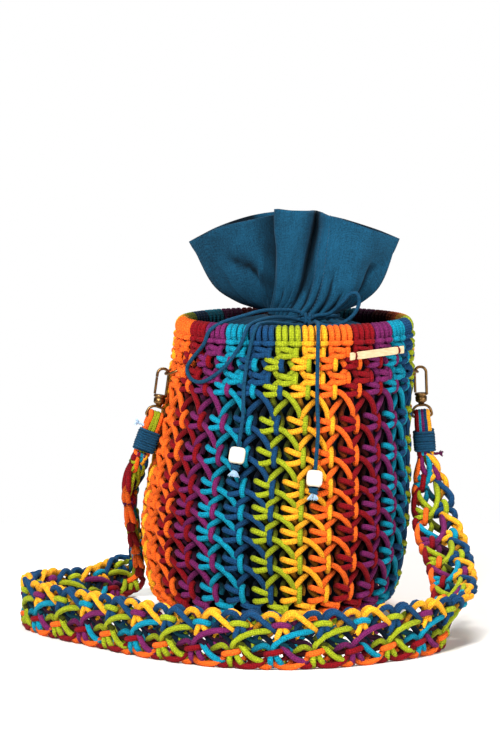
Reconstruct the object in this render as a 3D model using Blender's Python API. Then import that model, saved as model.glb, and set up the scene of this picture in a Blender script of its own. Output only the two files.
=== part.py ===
"""A knotted bucket bag standing with its strap laid round the front.

Metres, +Z up, the front faces -Y. The origin lies on the surface that the bag stands on.
Every height, azimuth and radius below is worked out from the driving sizes at the top.
Azimuths are measured at the bag's axis from the front (-Y), positive towards +X, in degrees.
"""

import math

import bmesh
import bpy
from mathutils import Vector

# Driving sizes of the knotted body
COLUMNS = 28
COLUMN_STEP = 360.0 / COLUMNS
TWIST_AT_BASE = -3.0
TWIST_AT_RIM = -9.0
RIM_HEIGHT = 0.247
INNER_FACE = -0.0025
STRAND_RELIEF = 0.0015
WAIST_RELIEF = 0.0018
KNOT_RELIEF = 0.0045
GAP_SHARE = 0.30
GAP_FLARE = 0.06
GAP_WAIST = 0.05
CORD_CLEARANCE = 0.0003

# Shape of the wall: height, radius of its middle, sideways lean of its axis
WALL_ROWS = (
    (0.000, 0.0700, 0.0000),
    (0.008, 0.0880, 0.0000),
    (0.019, 0.0980, 0.0003),
    (0.045, 0.1045, 0.0010),
    (0.078, 0.1075, 0.0020),
    (0.120, 0.1050, 0.0060),
    (0.162, 0.1005, 0.0105),
    (0.196, 0.0980, 0.0150),
    (0.235, 0.0950, 0.0180),
    (0.247, 0.0940, 0.0180),
)
KNOT_HEIGHTS = (0.2186, 0.1967, 0.1684, 0.1425, 0.1166, 0.0972, 0.0778, 0.0543, 0.0284)

# Rows of the tight band at the top: height, relief on the cord groups, relief between them
TOP_ROWS = (
    (0.2470, 0.0025, 0.0012),
    (0.2410, 0.0040, 0.0018),
    (0.2335, 0.0045, 0.0030),
    (0.2275, 0.0012, 0.0012),
)

# Drawstring pouch
POUCH_SIDES = 40
POUCH_THICKNESS = 0.0016
PLEATS = 10
NECK = (0.0286, -0.0050, 0.2520)
NECK_RADIUS = 0.0211
# Height, radius, share of the way from the body's axis to the neck's, pleat depth
POUCH_ROWS = (
    (0.0061, 0.0640, 0.0, 0.0000),
    (0.0160, 0.0810, 0.0, 0.0000),
    (0.0360, 0.0945, 0.0, 0.0000),
    (0.0800, 0.1004, 0.0, 0.0000),
    (0.1300, 0.0972, 0.0, 0.0000),
    (0.1900, 0.0900, 0.0, 0.0000),
    (0.2180, 0.0790, 0.0, 0.0010),
    (0.2360, 0.0520, 0.6, 0.0022),
    (0.2430, 0.0320, 0.9, 0.0026),
    (0.2480, 0.0215, 1.0, 0.0024),
    (0.2520, NECK_RADIUS, 1.0, 0.0024),
)
# Climb of the flare above the neck: share outwards, share upwards, pleat depth
FLARE_ROWS = (
    (0.00, 0.04, 0.0022),
    (0.17, 0.10, 0.0018),
    (0.36, 0.18, 0.0012),
    (0.60, 0.36, 0.0006),
    (0.82, 0.70, 0.0000),
    (1.00, 1.00, 0.0000),
)
# Top edge of the flare from its right tip round the front to the left tip and back: x, y, z
FLARE_EDGE = (
    (0.1050, -0.0040, 0.3160),
    (0.0850, -0.0230, 0.3235),
    (0.0620, -0.0320, 0.3320),
    (0.0460, -0.0270, 0.3365),
    (0.0370, -0.0100, 0.3395),
    (0.0290, -0.0280, 0.3405),
    (0.0150, -0.0370, 0.3410),
    (0.0030, -0.0350, 0.3420),
    (0.0010, -0.0220, 0.3395),
    (-0.0170, -0.0210, 0.3340),
    (-0.0440, -0.0180, 0.3270),
    (-0.0697, -0.0040, 0.3135),
    (-0.0480, 0.0150, 0.3240),
    (-0.0220, 0.0250, 0.3320),
    (0.0000, 0.0130, 0.3370),
    (0.0220, 0.0290, 0.3370),
    (0.0450, 0.0150, 0.3345),
    (0.0650, 0.0280, 0.3290),
    (0.0880, 0.0180, 0.3220),
)

# Drawcord
CORD_RADIUS = 0.0016
NECK_TURN_RADIUS = 0.0266
BOW_CENTRE = (0.0286, -0.0378, 0.2505)
BOW_SIZE = (0.0055, 0.0045, 0.0060)
BOW_SWELL = 1.03
BEAD_RADIUS = 0.0069
BEAD_HEIGHT = 0.0138
STOPPER_RADIUS = 0.0040
# Way that each cord leaves the bow
BOW_WAYS = {
    "left_loop_out": (-0.85, 0.00, 0.85),
    "left_loop_back": (-1.00, -0.15, 0.00),
    "left_tail": (-0.80, -0.55, -0.85),
    "right_loop_out": (1.00, 0.00, 0.45),
    "right_loop_back": (1.00, -0.45, -0.25),
    "right_tail": (0.35, -1.00, -0.55),
}
# Stretches from the bow to the rim are x, y, z. Stretches outside the wall are azimuth, height, distance out.
LEFT_LOOP_OUT = (
    (0.0105, -0.0440, 0.2590),
    (-0.0090, -0.0530, 0.2590),
    (-0.0270, -0.0640, 0.2550),
)
LEFT_LOOP_WALL = (
    (-39.7, 0.2508, 0.0005),
    (-44.2, 0.2440, 0.0072),
    (-47.3, 0.2325, 0.0074),
    (-54.7, 0.2193, 0.0074),
    (-57.5, 0.2105, 0.0074),
    (-51.6, 0.2025, 0.0074),
    (-43.0, 0.2033, 0.0074),
    (-33.0, 0.2160, 0.0074),
    (-26.5, 0.2330, 0.0074),
    (-24.0, 0.2445, 0.0072),
    (-22.9, 0.2510, 0.0000),
)
LEFT_LOOP_BACK = (
    (-0.0040, -0.0700, 0.2545),
    (0.0110, -0.0500, 0.2530),
)
LEFT_TAIL_IN = (
    (0.0125, -0.0560, 0.2480),
    (-0.0010, -0.0720, 0.2508),
)
LEFT_TAIL_WALL = (
    (-18.4, 0.2514, 0.0000),
    (-19.0, 0.2490, 0.0055),
    (-19.8, 0.2440, 0.0076),
    (-21.0, 0.2345, 0.0074),
    (-22.1, 0.2185, 0.0074),
    (-22.1, 0.1984, 0.0076),
    (-20.4, 0.1785, 0.0090),
    (-19.8, 0.1640, 0.0108),
    (-19.6, 0.1522, 0.0122),
)
RIGHT_TAIL_IN = (
    (0.0335, -0.0560, 0.2490),
    (0.0350, -0.0700, 0.2508),
)
RIGHT_TAIL_WALL = (
    (11.2, 0.2508, 0.0000),
    (10.4, 0.2440, 0.0072),
    (10.2, 0.2335, 0.0074),
    (10.6, 0.2130, 0.0074),
    (11.5, 0.1905, 0.0074),
    (13.3, 0.1669, 0.0092),
    (13.4, 0.1480, 0.0110),
    (13.2, 0.1340, 0.0122),
)
RIGHT_LOOP = (
    (0.0470, -0.0415, 0.2560),
    (0.0570, -0.0450, 0.2650),
    (0.0640, -0.0460, 0.2725),
    (0.0695, -0.0475, 0.2725),
    (0.0712, -0.0490, 0.2655),
    (0.0675, -0.0520, 0.2570),
    (0.0600, -0.0560, 0.2505),
    (0.0500, -0.0560, 0.2470),
    (0.0425, -0.0495, 0.2468),
)

# Wooden tag on the net
TAG_AZIMUTH = 41.2
TAG_HEIGHT = 0.2262
TAG_SIZE = (0.0600, 0.0016, 0.0062)
TAG_STANDOFF = 0.0046
TAG_TILT = 2.0

# Metal fittings
RING_HEIGHT = 0.2076
RING_RADIUS = 0.0105
RING_WIRE = 0.0010
RING_TILT = 25.0
HOOK_PAST_RING = 0.0022
HOOK_BELOW_RING = 0.0178
HOOK_WIRE = 0.0012
HOOK_HALF_WIDTH = 0.0048
HOOK_STRAIGHT = 0.0172
HOOK_NOSE = 0.0146
GATE_WIRE = 0.0011
GATE_PIVOT = 0.0015
GATE_TOP = 0.0143
BARREL_RADIUS = 0.0053
BARREL_LENGTH = 0.0085
LOOP_WIRE = 0.0011
LOOP_DROP = 0.0095
LOOP_SEAT = 0.0020
# Half outline of the D loop from its top: along the bar, below the top
LOOP_OUTLINE = ((0.0000, 0.0000), (0.0036, 0.0003), (0.0066, 0.0025), (0.0079, 0.0056), (0.0074, 0.0092))
# Column that the ring goes round, ring's stand-off, lean of the hook and of the D loop, side of the gate
FITTINGS = {
    "left": {"column": -6, "ring_out": 0.0015, "hook_lean": 8.0, "loop_lean": 20.0, "gate_side": 1.0},
    "right": {"column": 7, "ring_out": -0.0005, "hook_lean": 2.0, "loop_lean": 5.0, "gate_side": -1.0},
}

# Shoulder strap
STRAP_WIDTH = 0.0450
STRAP_REPEAT = 0.0440
STRAP_THIN = 0.0026
STRAP_THICK = 0.0042
FOLD_HALF_WIDTH = 0.0058
FOLD_HALF_THICKNESS = 0.0019
FOLD_RADIUS = 0.0036
LEG_SPREAD = 0.0022
STRAP_LINES = (-0.50, -0.30, -0.06, 0.06, 0.30, 0.50)
# Centre line from the left whipping to the right one: x, y, z, width direction x, y, z, half width
STRAP_PATH = (
    (-0.1180, -0.0150, 0.1130, 0.45, 0.85, 0.20, 0.0125),
    (-0.1205, 0.0000, 0.0940, 0.05, 0.97, 0.25, 0.0165),
    (-0.1200, 0.0200, 0.0730, 0.00, 0.92, 0.38, 0.0180),
    (-0.1175, 0.0410, 0.0535, -0.05, 0.80, 0.60, 0.0185),
    (-0.1165, 0.0570, 0.0370, -0.10, 0.66, 0.74, 0.0185),
    (-0.1200, 0.0665, 0.0255, -0.22, 0.50, 0.84, 0.0183),
    (-0.1285, 0.0640, 0.0200, -0.30, 0.25, 0.92, 0.0182),
    (-0.1375, 0.0480, 0.0180, -0.35, 0.33, 0.88, 0.0178),
    (-0.1490, 0.0290, 0.0166, -0.38, 0.42, 0.82, 0.0175),
    (-0.1680, 0.0080, 0.0166, -0.35, 0.40, 0.85, 0.0178),
    (-0.1890, -0.0200, 0.0186, -0.22, 0.20, 0.95, 0.0188),
    (-0.2035, -0.0620, 0.0202, 0.00, 0.00, 1.00, 0.0197),
    (-0.2000, -0.1000, 0.0212, 0.00, 0.00, 1.00, 0.0207),
    (-0.1800, -0.1370, 0.0220, 0.00, 0.00, 1.00, 0.0215),
    (-0.1500, -0.1720, 0.0224, 0.00, 0.00, 1.00, 0.0219),
    (-0.1150, -0.2130, 0.0227, 0.00, 0.00, 1.00, 0.0222),
    (-0.0760, -0.2490, 0.0229, 0.00, 0.00, 1.00, 0.0224),
    (-0.0360, -0.2720, 0.0230, 0.00, 0.00, 1.00, 0.0225),
    (0.0080, -0.2800, 0.0230, 0.00, 0.00, 1.00, 0.0225),
    (0.0520, -0.2690, 0.0230, 0.00, 0.00, 1.00, 0.0225),
    (0.0860, -0.2480, 0.0229, 0.00, 0.00, 1.00, 0.0224),
    (0.1130, -0.2270, 0.0228, 0.08, 0.02, 1.00, 0.0223),
    (0.1365, -0.1935, 0.0228, 0.33, 0.20, 0.92, 0.0220),
    (0.1440, -0.1540, 0.0285, 0.75, 0.05, 0.66, 0.0205),
    (0.1475, -0.1150, 0.0400, 0.95, 0.00, 0.31, 0.0190),
    (0.1449, -0.0720, 0.0546, 1.00, 0.00, 0.10, 0.0198),
    (0.1405, -0.0440, 0.0672, 1.00, 0.00, 0.05, 0.0206),
    (0.1365, -0.0260, 0.0812, 1.00, 0.00, 0.05, 0.0190),
    (0.1348, -0.0130, 0.0968, 1.00, 0.00, 0.05, 0.0172),
    (0.1325, -0.0040, 0.1131, 1.00, 0.00, 0.05, 0.0135),
)

# Whippings
WHIP_START = 0.0110
WHIP_LENGTH = 0.0200
WHIP_WALL = 0.0030
WHIP_CLEARANCE = 0.0005
WHIP_RIDGE = 0.0004
WHIP_ROWS = 5
WHIP_SIDES = 16

COLOURS = {
    "knotted_cord": (0.62, 0.20, 0.05),
    "blue_cotton": (0.02, 0.11, 0.19),
    "blue_cord": (0.03, 0.14, 0.24),
    "pale_wood": (0.80, 0.66, 0.48),
    "antique_brass": (0.36, 0.26, 0.16),
}


def clear_scene():
    """Remove every object that a new file starts with."""
    for obj in list(bpy.data.objects):
        bpy.data.objects.remove(obj, do_unlink=True)


def make_material(name, roughness, metallic=0.0):
    """A plain Principled surface in one of the part's colours."""
    material = bpy.data.materials.new(name)
    material.use_nodes = True
    shader = material.node_tree.nodes["Principled BSDF"]
    shader.inputs["Base Color"].default_value = (*COLOURS[name], 1.0)
    shader.inputs["Roughness"].default_value = roughness
    shader.inputs["Metallic"].default_value = metallic
    return material


def mesh_object(name, points, faces, material, smooth=True):
    """One object from points and faces, its normals made to point outwards."""
    mesh = bpy.data.meshes.new(name)
    mesh.from_pydata([tuple(point) for point in points], [], faces)
    shape = bmesh.new()
    shape.from_mesh(mesh)
    bmesh.ops.recalc_face_normals(shape, faces=shape.faces)
    shape.to_mesh(mesh)
    shape.free()
    if smooth:
        mesh.shade_smooth()
    mesh.materials.append(material)
    obj = bpy.data.objects.new(name, mesh)
    bpy.context.scene.collection.objects.link(obj)
    return obj


def blend_rows(rows, height):
    """Values of a table at a height, read smoothly between its rows."""
    last = len(rows) - 1
    index = 0
    while index < last - 1 and height > rows[index + 1][0]:
        index += 1
    low, high = rows[index], rows[index + 1]
    before, after = rows[max(index - 1, 0)], rows[min(index + 2, last)]
    share = min(max((height - low[0]) / (high[0] - low[0]), 0.0), 1.0)
    values = []
    for item in range(1, len(low)):
        slope_low = (high[item] - before[item]) / (high[0] - before[0])
        slope_high = (after[item] - low[item]) / (after[0] - low[0])
        values.append(hermite(low[item], high[item], slope_low, slope_high, high[0] - low[0], share))
    return values


def hermite(start, end, slope_start, slope_end, span, share):
    """A cubic between two values with a slope at each."""
    square, cube = share * share, share * share * share
    return (
        start * (2 * cube - 3 * square + 1)
        + slope_start * span * (cube - 2 * square + share)
        + end * (3 * square - 2 * cube)
        + slope_end * span * (cube - square)
    )


def catmull(points, share, closed=False):
    """A point on a smooth curve through vectors, share from 0 to 1."""
    spans = len(points) if closed else len(points) - 1
    place = min(max(share, 0.0), 1.0) * spans
    index = min(int(place), spans - 1)
    t = place - index

    def at(offset):
        if closed:
            return points[(index + offset) % len(points)]
        return points[min(max(index + offset, 0), len(points) - 1)]

    before, low, high, after = at(-1), at(0), at(1), at(2)
    return 0.5 * (
        2 * low
        + (high - before) * t
        + (2 * before - 5 * low + 4 * high - after) * t * t
        + (3 * low - before - 3 * high + after) * t * t * t
    )


def even_curve(points, count, closed=False, fine=400):
    """Points an equal distance apart along a smooth curve."""
    dense = [catmull(points, step / fine, closed) for step in range(fine + 1)]
    lengths = [0.0]
    for first, second in zip(dense, dense[1:]):
        lengths.append(lengths[-1] + (second - first).length)
    steps = count if closed else count - 1
    found = []
    index = 0
    for step in range(count):
        target = lengths[-1] * step / steps
        while index < fine - 1 and lengths[index + 1] < target:
            index += 1
        span = lengths[index + 1] - lengths[index]
        share = (target - lengths[index]) / span if span else 0.0
        found.append(dense[index].lerp(dense[index + 1], min(max(share, 0.0), 1.0)))
    return found


def wall_point(azimuth, height, distance_out):
    """A point at an azimuth and height, so far out from the wall's middle."""
    radius, lean = blend_rows(WALL_ROWS, height)
    angle = math.radians(azimuth)
    reach = radius + distance_out
    return Vector((lean + reach * math.sin(angle), -reach * math.cos(angle), height))


def column_azimuth(column, place, height):
    """Azimuth of a place in a column; 0.25 is the column's line of knots."""
    twist = TWIST_AT_BASE + (TWIST_AT_RIM - TWIST_AT_BASE) * height / RIM_HEIGHT
    return twist + (column + place - 0.25) * COLUMN_STEP


def tube(path, radius, sides=8, closed=False):
    """Points and faces of a round tube that follows a path without twisting."""
    count = len(path)
    tangents = []
    for index in range(count):
        if closed:
            tangent = path[(index + 1) % count] - path[index - 1]
        else:
            tangent = path[min(index + 1, count - 1)] - path[max(index - 1, 0)]
        tangents.append(tangent.normalized())
    normal = tangents[0].orthogonal().normalized()
    points, faces = [], []
    for centre, tangent in zip(path, tangents):
        normal = (normal - tangent * normal.dot(tangent)).normalized()
        across = tangent.cross(normal)
        for side in range(sides):
            angle = math.tau * side / sides
            points.append(centre + radius * (normal * math.cos(angle) + across * math.sin(angle)))
    for index in range(count if closed else count - 1):
        here, there = index * sides, ((index + 1) % count) * sides
        for side in range(sides):
            after = (side + 1) % sides
            faces.append((here + side, here + after, there + after, there + side))
    if not closed:
        faces.append(tuple(range(sides)))
        faces.append(tuple(range((count - 1) * sides, count * sides)))
    return points, faces


def turned(profile, base, axis, sides, name, material):
    """A solid turned about an axis from radius and height pairs, closed at both ends."""
    axis = axis.normalized()
    side_way = axis.orthogonal().normalized()
    across = axis.cross(side_way)
    points, faces = [], []
    for radius, height in profile:
        for side in range(sides):
            angle = math.tau * side / sides
            way = side_way * math.cos(angle) + across * math.sin(angle)
            points.append(base + axis * height + way * radius)
    for row in range(len(profile) - 1):
        for side in range(sides):
            after = (side + 1) % sides
            faces.append((row * sides + side, row * sides + after, (row + 1) * sides + after, (row + 1) * sides + side))
    faces.append(tuple(range(sides)))
    faces.append(tuple(range((len(profile) - 1) * sides, len(profile) * sides)))
    return mesh_object(name, points, faces, material)


def cord_object(name, route, count, material):
    """A round cord as a curve with a bevel, on points read from a smooth route."""
    points = even_curve(route, count)
    curve = bpy.data.curves.new(name, "CURVE")
    curve.dimensions = "3D"
    curve.bevel_depth = CORD_RADIUS
    curve.bevel_resolution = 2
    curve.use_fill_caps = True
    spline = curve.splines.new("POLY")
    spline.points.add(len(points) - 1)
    for target, point in zip(spline.points, points):
        target.co = (*point, 1.0)
    curve.materials.append(material)
    obj = bpy.data.objects.new(name, curve)
    bpy.context.scene.collection.objects.link(obj)
    return obj


class WallMesh:
    """Points of the knotted wall, kept by row, column and place."""

    def __init__(self):
        self.points = []
        self.faces = []

    def add(self, point):
        self.points.append(point)
        return len(self.points) - 1

    def row(self, height, places, reliefs):
        """One row of points: a list for each column."""
        found = []
        for column in range(COLUMNS):
            found.append([
                self.add(wall_point(column_azimuth(column, place, height), height, relief))
                for place, relief in zip(places, reliefs)
            ])
        return found

    def face(self, *corners):
        self.faces.append(tuple(corners))


def knot_rows_to_gaps():
    """Centre height and half height of each row of gaps below the tight band."""
    gaps = []
    for upper, lower in zip(KNOT_HEIGHTS[1:], KNOT_HEIGHTS[2:]):
        gaps.append(((upper + lower) / 2, GAP_SHARE * (upper - lower)))
    return gaps


def gap_rows(wall, centre, half, shift):
    """Outer points at the top, middle and bottom of a row of gaps, inner points at its top and bottom."""
    outer, inner = [], []
    left, right = shift - GAP_FLARE, shift + 0.5 + GAP_FLARE
    for height in (centre + half, centre - half):
        outer.append(wall.row(height, (left, shift + 0.25, right), (STRAND_RELIEF, KNOT_RELIEF, STRAND_RELIEF)))
        inner.append(wall.row(height, (left, right), (INNER_FACE, INNER_FACE)))
    waists = wall.row(centre, (shift + GAP_WAIST, shift + 0.5 - GAP_WAIST), (WAIST_RELIEF, WAIST_RELIEF))
    for column in range(COLUMNS):
        waist = waists[column]
        for row in outer:
            side = row[column]
            wall.face(side[0], side[1], waist[0])
            wall.face(side[1], waist[1], waist[0])
            wall.face(side[1], side[2], waist[1])
        (top, bottom), (top_in, bottom_in) = [row[column] for row in outer], [row[column] for row in inner]
        wall.face(top_in[0], top_in[1], bottom_in[1], bottom_in[0])
        for place, place_in in ((0, 0), (2, 1)):
            wall.face(waist[place_in], top[place], top_in[place_in])
            wall.face(waist[place_in], top_in[place_in], bottom_in[place_in])
            wall.face(waist[place_in], bottom_in[place_in], bottom[place])
    for row, row_in in ((outer[0], inner[0]), (outer[-1], inner[-1])):
        for column in range(COLUMNS):
            after = (column + 1) % COLUMNS
            wall.face(row[column][2], row[after][0], row_in[after][0], row_in[column][1])
    return outer, inner


def join_gap_rows(wall, upper, upper_in, lower, lower_in):
    """Close the band of knots between two rows of gaps that stand in line."""
    for column in range(COLUMNS):
        after = (column + 1) % COLUMNS
        a, b = upper[column], lower[column]
        wall.face(a[0], a[1], b[1], b[0])
        wall.face(a[1], a[2], b[2], b[1])
        wall.face(a[2], upper[after][0], lower[after][0], b[2])
        c, d = upper_in[column], lower_in[column]
        wall.face(c[0], c[1], d[1], d[0])
        wall.face(c[1], upper_in[after][0], lower_in[after][0], d[1])


def knotted_body(material):
    """The net wall with its tight band, rim and flat base, as one closed mesh."""
    wall = WallMesh()
    top = [
        wall.row(height, (0.0, 0.25, 0.5, 0.75), (on, between, on, between))
        for height, on, between in TOP_ROWS
    ]
    top.append(wall.row(KNOT_HEIGHTS[0], (0.0, 0.25, 0.5, 0.75), (0.002, KNOT_RELIEF, 0.002, STRAND_RELIEF)))
    rim_in = wall.row(RIM_HEIGHT - 0.0012, (0.0, 0.5), (INNER_FACE, INNER_FACE))
    for upper, lower in zip(top, top[1:]):
        for column in range(COLUMNS):
            after = (column + 1) % COLUMNS
            a, b = upper[column] + [upper[after][0]], lower[column] + [lower[after][0]]
            for place in range(4):
                wall.face(a[place], a[place + 1], b[place + 1], b[place])
    for column in range(COLUMNS):
        after = (column + 1) % COLUMNS
        a, c = top[0][column], rim_in[column]
        wall.face(a[0], a[1], a[2], c[1], c[0])
        wall.face(a[2], a[3], top[0][after][0], rim_in[after][0], c[1])

    tight_centre = (KNOT_HEIGHTS[0] + KNOT_HEIGHTS[1]) / 2
    tight_half = 0.25 * (KNOT_HEIGHTS[0] - KNOT_HEIGHTS[1])
    tight, tight_in = gap_rows(wall, tight_centre, tight_half, 0.5)
    for column in range(COLUMNS):
        before, after = column - 1, (column + 1) % COLUMNS
        k, t = top[-1][column], tight[0][column]
        wall.face(k[0], k[1], k[2], t[0], tight[0][before][2])
        wall.face(k[2], k[3], t[1], t[0])
        wall.face(k[3], top[-1][after][0], t[2], t[1])
        c, u = rim_in[column], tight_in[0][column]
        wall.face(c[0], c[1], u[0], tight_in[0][before][1])
        wall.face(c[1], rim_in[after][0], u[1], u[0])

    nets = [gap_rows(wall, centre, half, 0.0) for centre, half in knot_rows_to_gaps()]
    first, first_in = nets[0]
    for column in range(COLUMNS):
        before, after = column - 1, (column + 1) % COLUMNS
        a, b = tight[-1][column], first[0][column]
        wall.face(tight[-1][before][2], a[0], b[1], b[0])
        wall.face(a[0], a[1], b[2], b[1])
        wall.face(a[1], a[2], first[0][after][0], b[2])
        c, d = tight_in[-1][column], first_in[0][column]
        wall.face(tight_in[-1][before][1], c[0], d[1], d[0])
        wall.face(c[0], c[1], first_in[0][after][0], d[1])
    for (upper, upper_in), (lower, lower_in) in zip(nets, nets[1:]):
        join_gap_rows(wall, upper[-1], upper_in[-1], lower[0], lower_in[0])
    close_base(wall, nets[-1][0][-1], nets[-1][1][-1])
    return mesh_object("knotted_body", wall.points, wall.faces, material)


def close_base(wall, last, last_in):
    """Turn the wall in under itself to a flat base."""
    rows = [last]
    for height, knot, between in ((0.0240, KNOT_RELIEF, 0.0020), (0.0090, 0.0035, 0.0020), (0.0, 0.0, 0.0)):
        rows.append(wall.row(height, (0.0, 0.25, 0.5), (between, knot, between)))
    for upper, lower in zip(rows, rows[1:]):
        for column in range(COLUMNS):
            after = (column + 1) % COLUMNS
            a, b = upper[column] + [upper[after][0]], lower[column] + [lower[after][0]]
            for place in range(3):
                wall.face(a[place], a[place + 1], b[place + 1], b[place])
    middle = wall.add(Vector((0.0, 0.0, 0.0)))
    for column in range(COLUMNS):
        after = (column + 1) % COLUMNS
        ring = rows[-1][column] + [rows[-1][after][0]]
        for place in range(3):
            wall.face(ring[place], ring[place + 1], middle)
    inner_rows = [last_in]
    inner_rows.append(wall.row(0.0050, (0.0, 0.5), (-0.0060, -0.0060)))
    for upper, lower in zip(inner_rows, inner_rows[1:]):
        for column in range(COLUMNS):
            after = (column + 1) % COLUMNS
            a, b = upper[column] + [upper[after][0]], lower[column] + [lower[after][0]]
            for place in range(2):
                wall.face(a[place], a[place + 1], b[place + 1], b[place])
    inner_middle = wall.add(Vector((0.0, 0.0, 0.0050)))
    for column in range(COLUMNS):
        after = (column + 1) % COLUMNS
        ring = inner_rows[-1][column] + [inner_rows[-1][after][0]]
        for place in range(2):
            wall.face(ring[place], ring[place + 1], inner_middle)


def drawstring_pouch(material):
    """The cloth pouch: bottom, sides, gathered neck and flare, given its thickness by Solidify."""
    neck = Vector(NECK)
    edge = even_curve([Vector(point) for point in FLARE_EDGE], POUCH_SIDES, closed=True)
    ways = []
    for side in range(POUCH_SIDES):
        angle = math.radians(90.0 - 360.0 * side / POUCH_SIDES)
        ways.append(Vector((math.sin(angle), -math.cos(angle), 0.0)))
    pleats = [math.cos(math.tau * PLEATS * side / POUCH_SIDES) for side in range(POUCH_SIDES)]
    points, faces = [], []
    for height, radius, share, depth in POUCH_ROWS:
        lean = blend_rows(WALL_ROWS, height)[1]
        centre = Vector((lean + share * (neck.x - lean), share * neck.y, height))
        for way, pleat in zip(ways, pleats):
            points.append(centre + way * (radius + depth * pleat))
    for out, up, depth in FLARE_ROWS:
        for way, pleat, top in zip(ways, pleats, edge):
            start = neck + way * NECK_RADIUS
            place = Vector((
                start.x + out * (top.x - start.x),
                start.y + out * (top.y - start.y),
                start.z + up * (top.z - start.z),
            ))
            points.append(place + way * depth * pleat)
    rows = len(POUCH_ROWS) + len(FLARE_ROWS)
    for row in range(rows - 1):
        for side in range(POUCH_SIDES):
            after = (side + 1) % POUCH_SIDES
            here, there = row * POUCH_SIDES, (row + 1) * POUCH_SIDES
            faces.append((here + side, here + after, there + after, there + side))
    points.append(Vector((0.0, 0.0, POUCH_ROWS[0][0])))
    for side in range(POUCH_SIDES):
        faces.append((side, (side + 1) % POUCH_SIDES, len(points) - 1))
    pouch = mesh_object("drawstring_pouch", points, faces, material)
    cloth = pouch.modifiers.new("cloth_thickness", "SOLIDIFY")
    cloth.thickness = POUCH_THICKNESS
    cloth.offset = 0.0
    return pouch


def drawcord(cord, wood):
    """The turn round the neck, the bow, its loops and tails, and the beads and stopper knots."""
    neck = Vector(NECK)
    turn = [
        neck + Vector((math.sin(angle), math.cos(angle), 0.0)) * NECK_TURN_RADIUS
        for angle in (math.tau * step / 24 for step in range(24))
    ]
    mesh_object("drawcord_neck_turn", *tube(turn, CORD_RADIUS, 6, closed=True), cord)
    bow_knot(cord)
    left_loop = leave_bow("left_loop_out") + [Vector(point) for point in LEFT_LOOP_OUT]
    left_loop += [wall_point(*row) for row in LEFT_LOOP_WALL]
    left_loop += [Vector(point) for point in LEFT_LOOP_BACK] + leave_bow("left_loop_back")[::-1]
    cord_object("drawcord_left_loop", left_loop, 36, cord)
    right_loop = leave_bow("right_loop_out") + [Vector(point) for point in RIGHT_LOOP]
    cord_object("drawcord_right_loop", right_loop + leave_bow("right_loop_back")[::-1], 18, cord)
    for side, start, outside in (
        ("left", LEFT_TAIL_IN, LEFT_TAIL_WALL),
        ("right", RIGHT_TAIL_IN, RIGHT_TAIL_WALL),
    ):
        route = leave_bow(f"{side}_tail") + [Vector(point) for point in start]
        route += [wall_point(*row) for row in outside]
        cord_object(f"drawcord_{side}_tail", route, 23, cord)
        end = route[-1]
        way = (end - route[-2]).normalized()
        bead_and_stopper(side, end, way, cord, wood)


def bead_and_stopper(side, end, way, cord, wood):
    """A drilled bead at a tail's end and the stopper knot under it."""
    top = end + way * CORD_CLEARANCE
    edge = 0.0022
    profile = (
        (BEAD_RADIUS - edge, 0.0),
        (BEAD_RADIUS, edge),
        (BEAD_RADIUS, BEAD_HEIGHT - edge),
        (BEAD_RADIUS - edge, BEAD_HEIGHT),
    )
    turned(profile, top, way, 12, f"bead_{side}", wood)
    knot_top = top + way * (BEAD_HEIGHT + CORD_CLEARANCE)
    knot = ((0.0022, 0.0), (STOPPER_RADIUS, 0.0016), (STOPPER_RADIUS, 0.0042), (0.0026, 0.0056), (0.0038, 0.0105))
    turned(knot, knot_top, way, 10, f"stopper_knot_{side}", cord)


def leave_bow(name):
    """The first two points of a cord, just outside the bow's knot and square to its surface."""
    way = Vector(BOW_WAYS[name]).normalized()
    reach = 1.0 / math.sqrt(sum((share / size) ** 2 for share, size in zip(way, BOW_SIZE)))
    normal = Vector([share / size ** 2 for share, size in zip(way, BOW_SIZE)]).normalized()
    start = Vector(BOW_CENTRE) + way * reach * BOW_SWELL + normal * 2.0 * CORD_CLEARANCE
    return [start, start + normal * 1.5 * CORD_RADIUS]


def bow_knot(cord):
    """The bow's middle knot as a rounded lump with two ridges."""
    centre, size = Vector(BOW_CENTRE), BOW_SIZE
    rings, sides = 6, 12
    points, faces = [centre - Vector((0.0, 0.0, size[2]))], []
    for ring in range(1, rings):
        polar = math.pi * ring / rings
        for side in range(sides):
            angle = math.tau * side / sides
            swell = 1.0 + (BOW_SWELL - 1.0) * math.cos(2 * angle + 3 * polar)
            reach = math.sin(polar) * swell
            points.append(centre + Vector((
                size[0] * reach * math.cos(angle),
                size[1] * reach * math.sin(angle),
                -size[2] * math.cos(polar),
            )))
    points.append(centre + Vector((0.0, 0.0, size[2])))
    last = len(points) - 1
    for side in range(sides):
        after = (side + 1) % sides
        faces.append((0, 1 + after, 1 + side))
        faces.append((last, last - sides + side, last - sides + after))
        for ring in range(rings - 2):
            here, there = 1 + ring * sides, 1 + (ring + 1) * sides
            faces.append((here + side, here + after, there + after, there + side))
    mesh_object("bow_knot", points, faces, cord)


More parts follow.
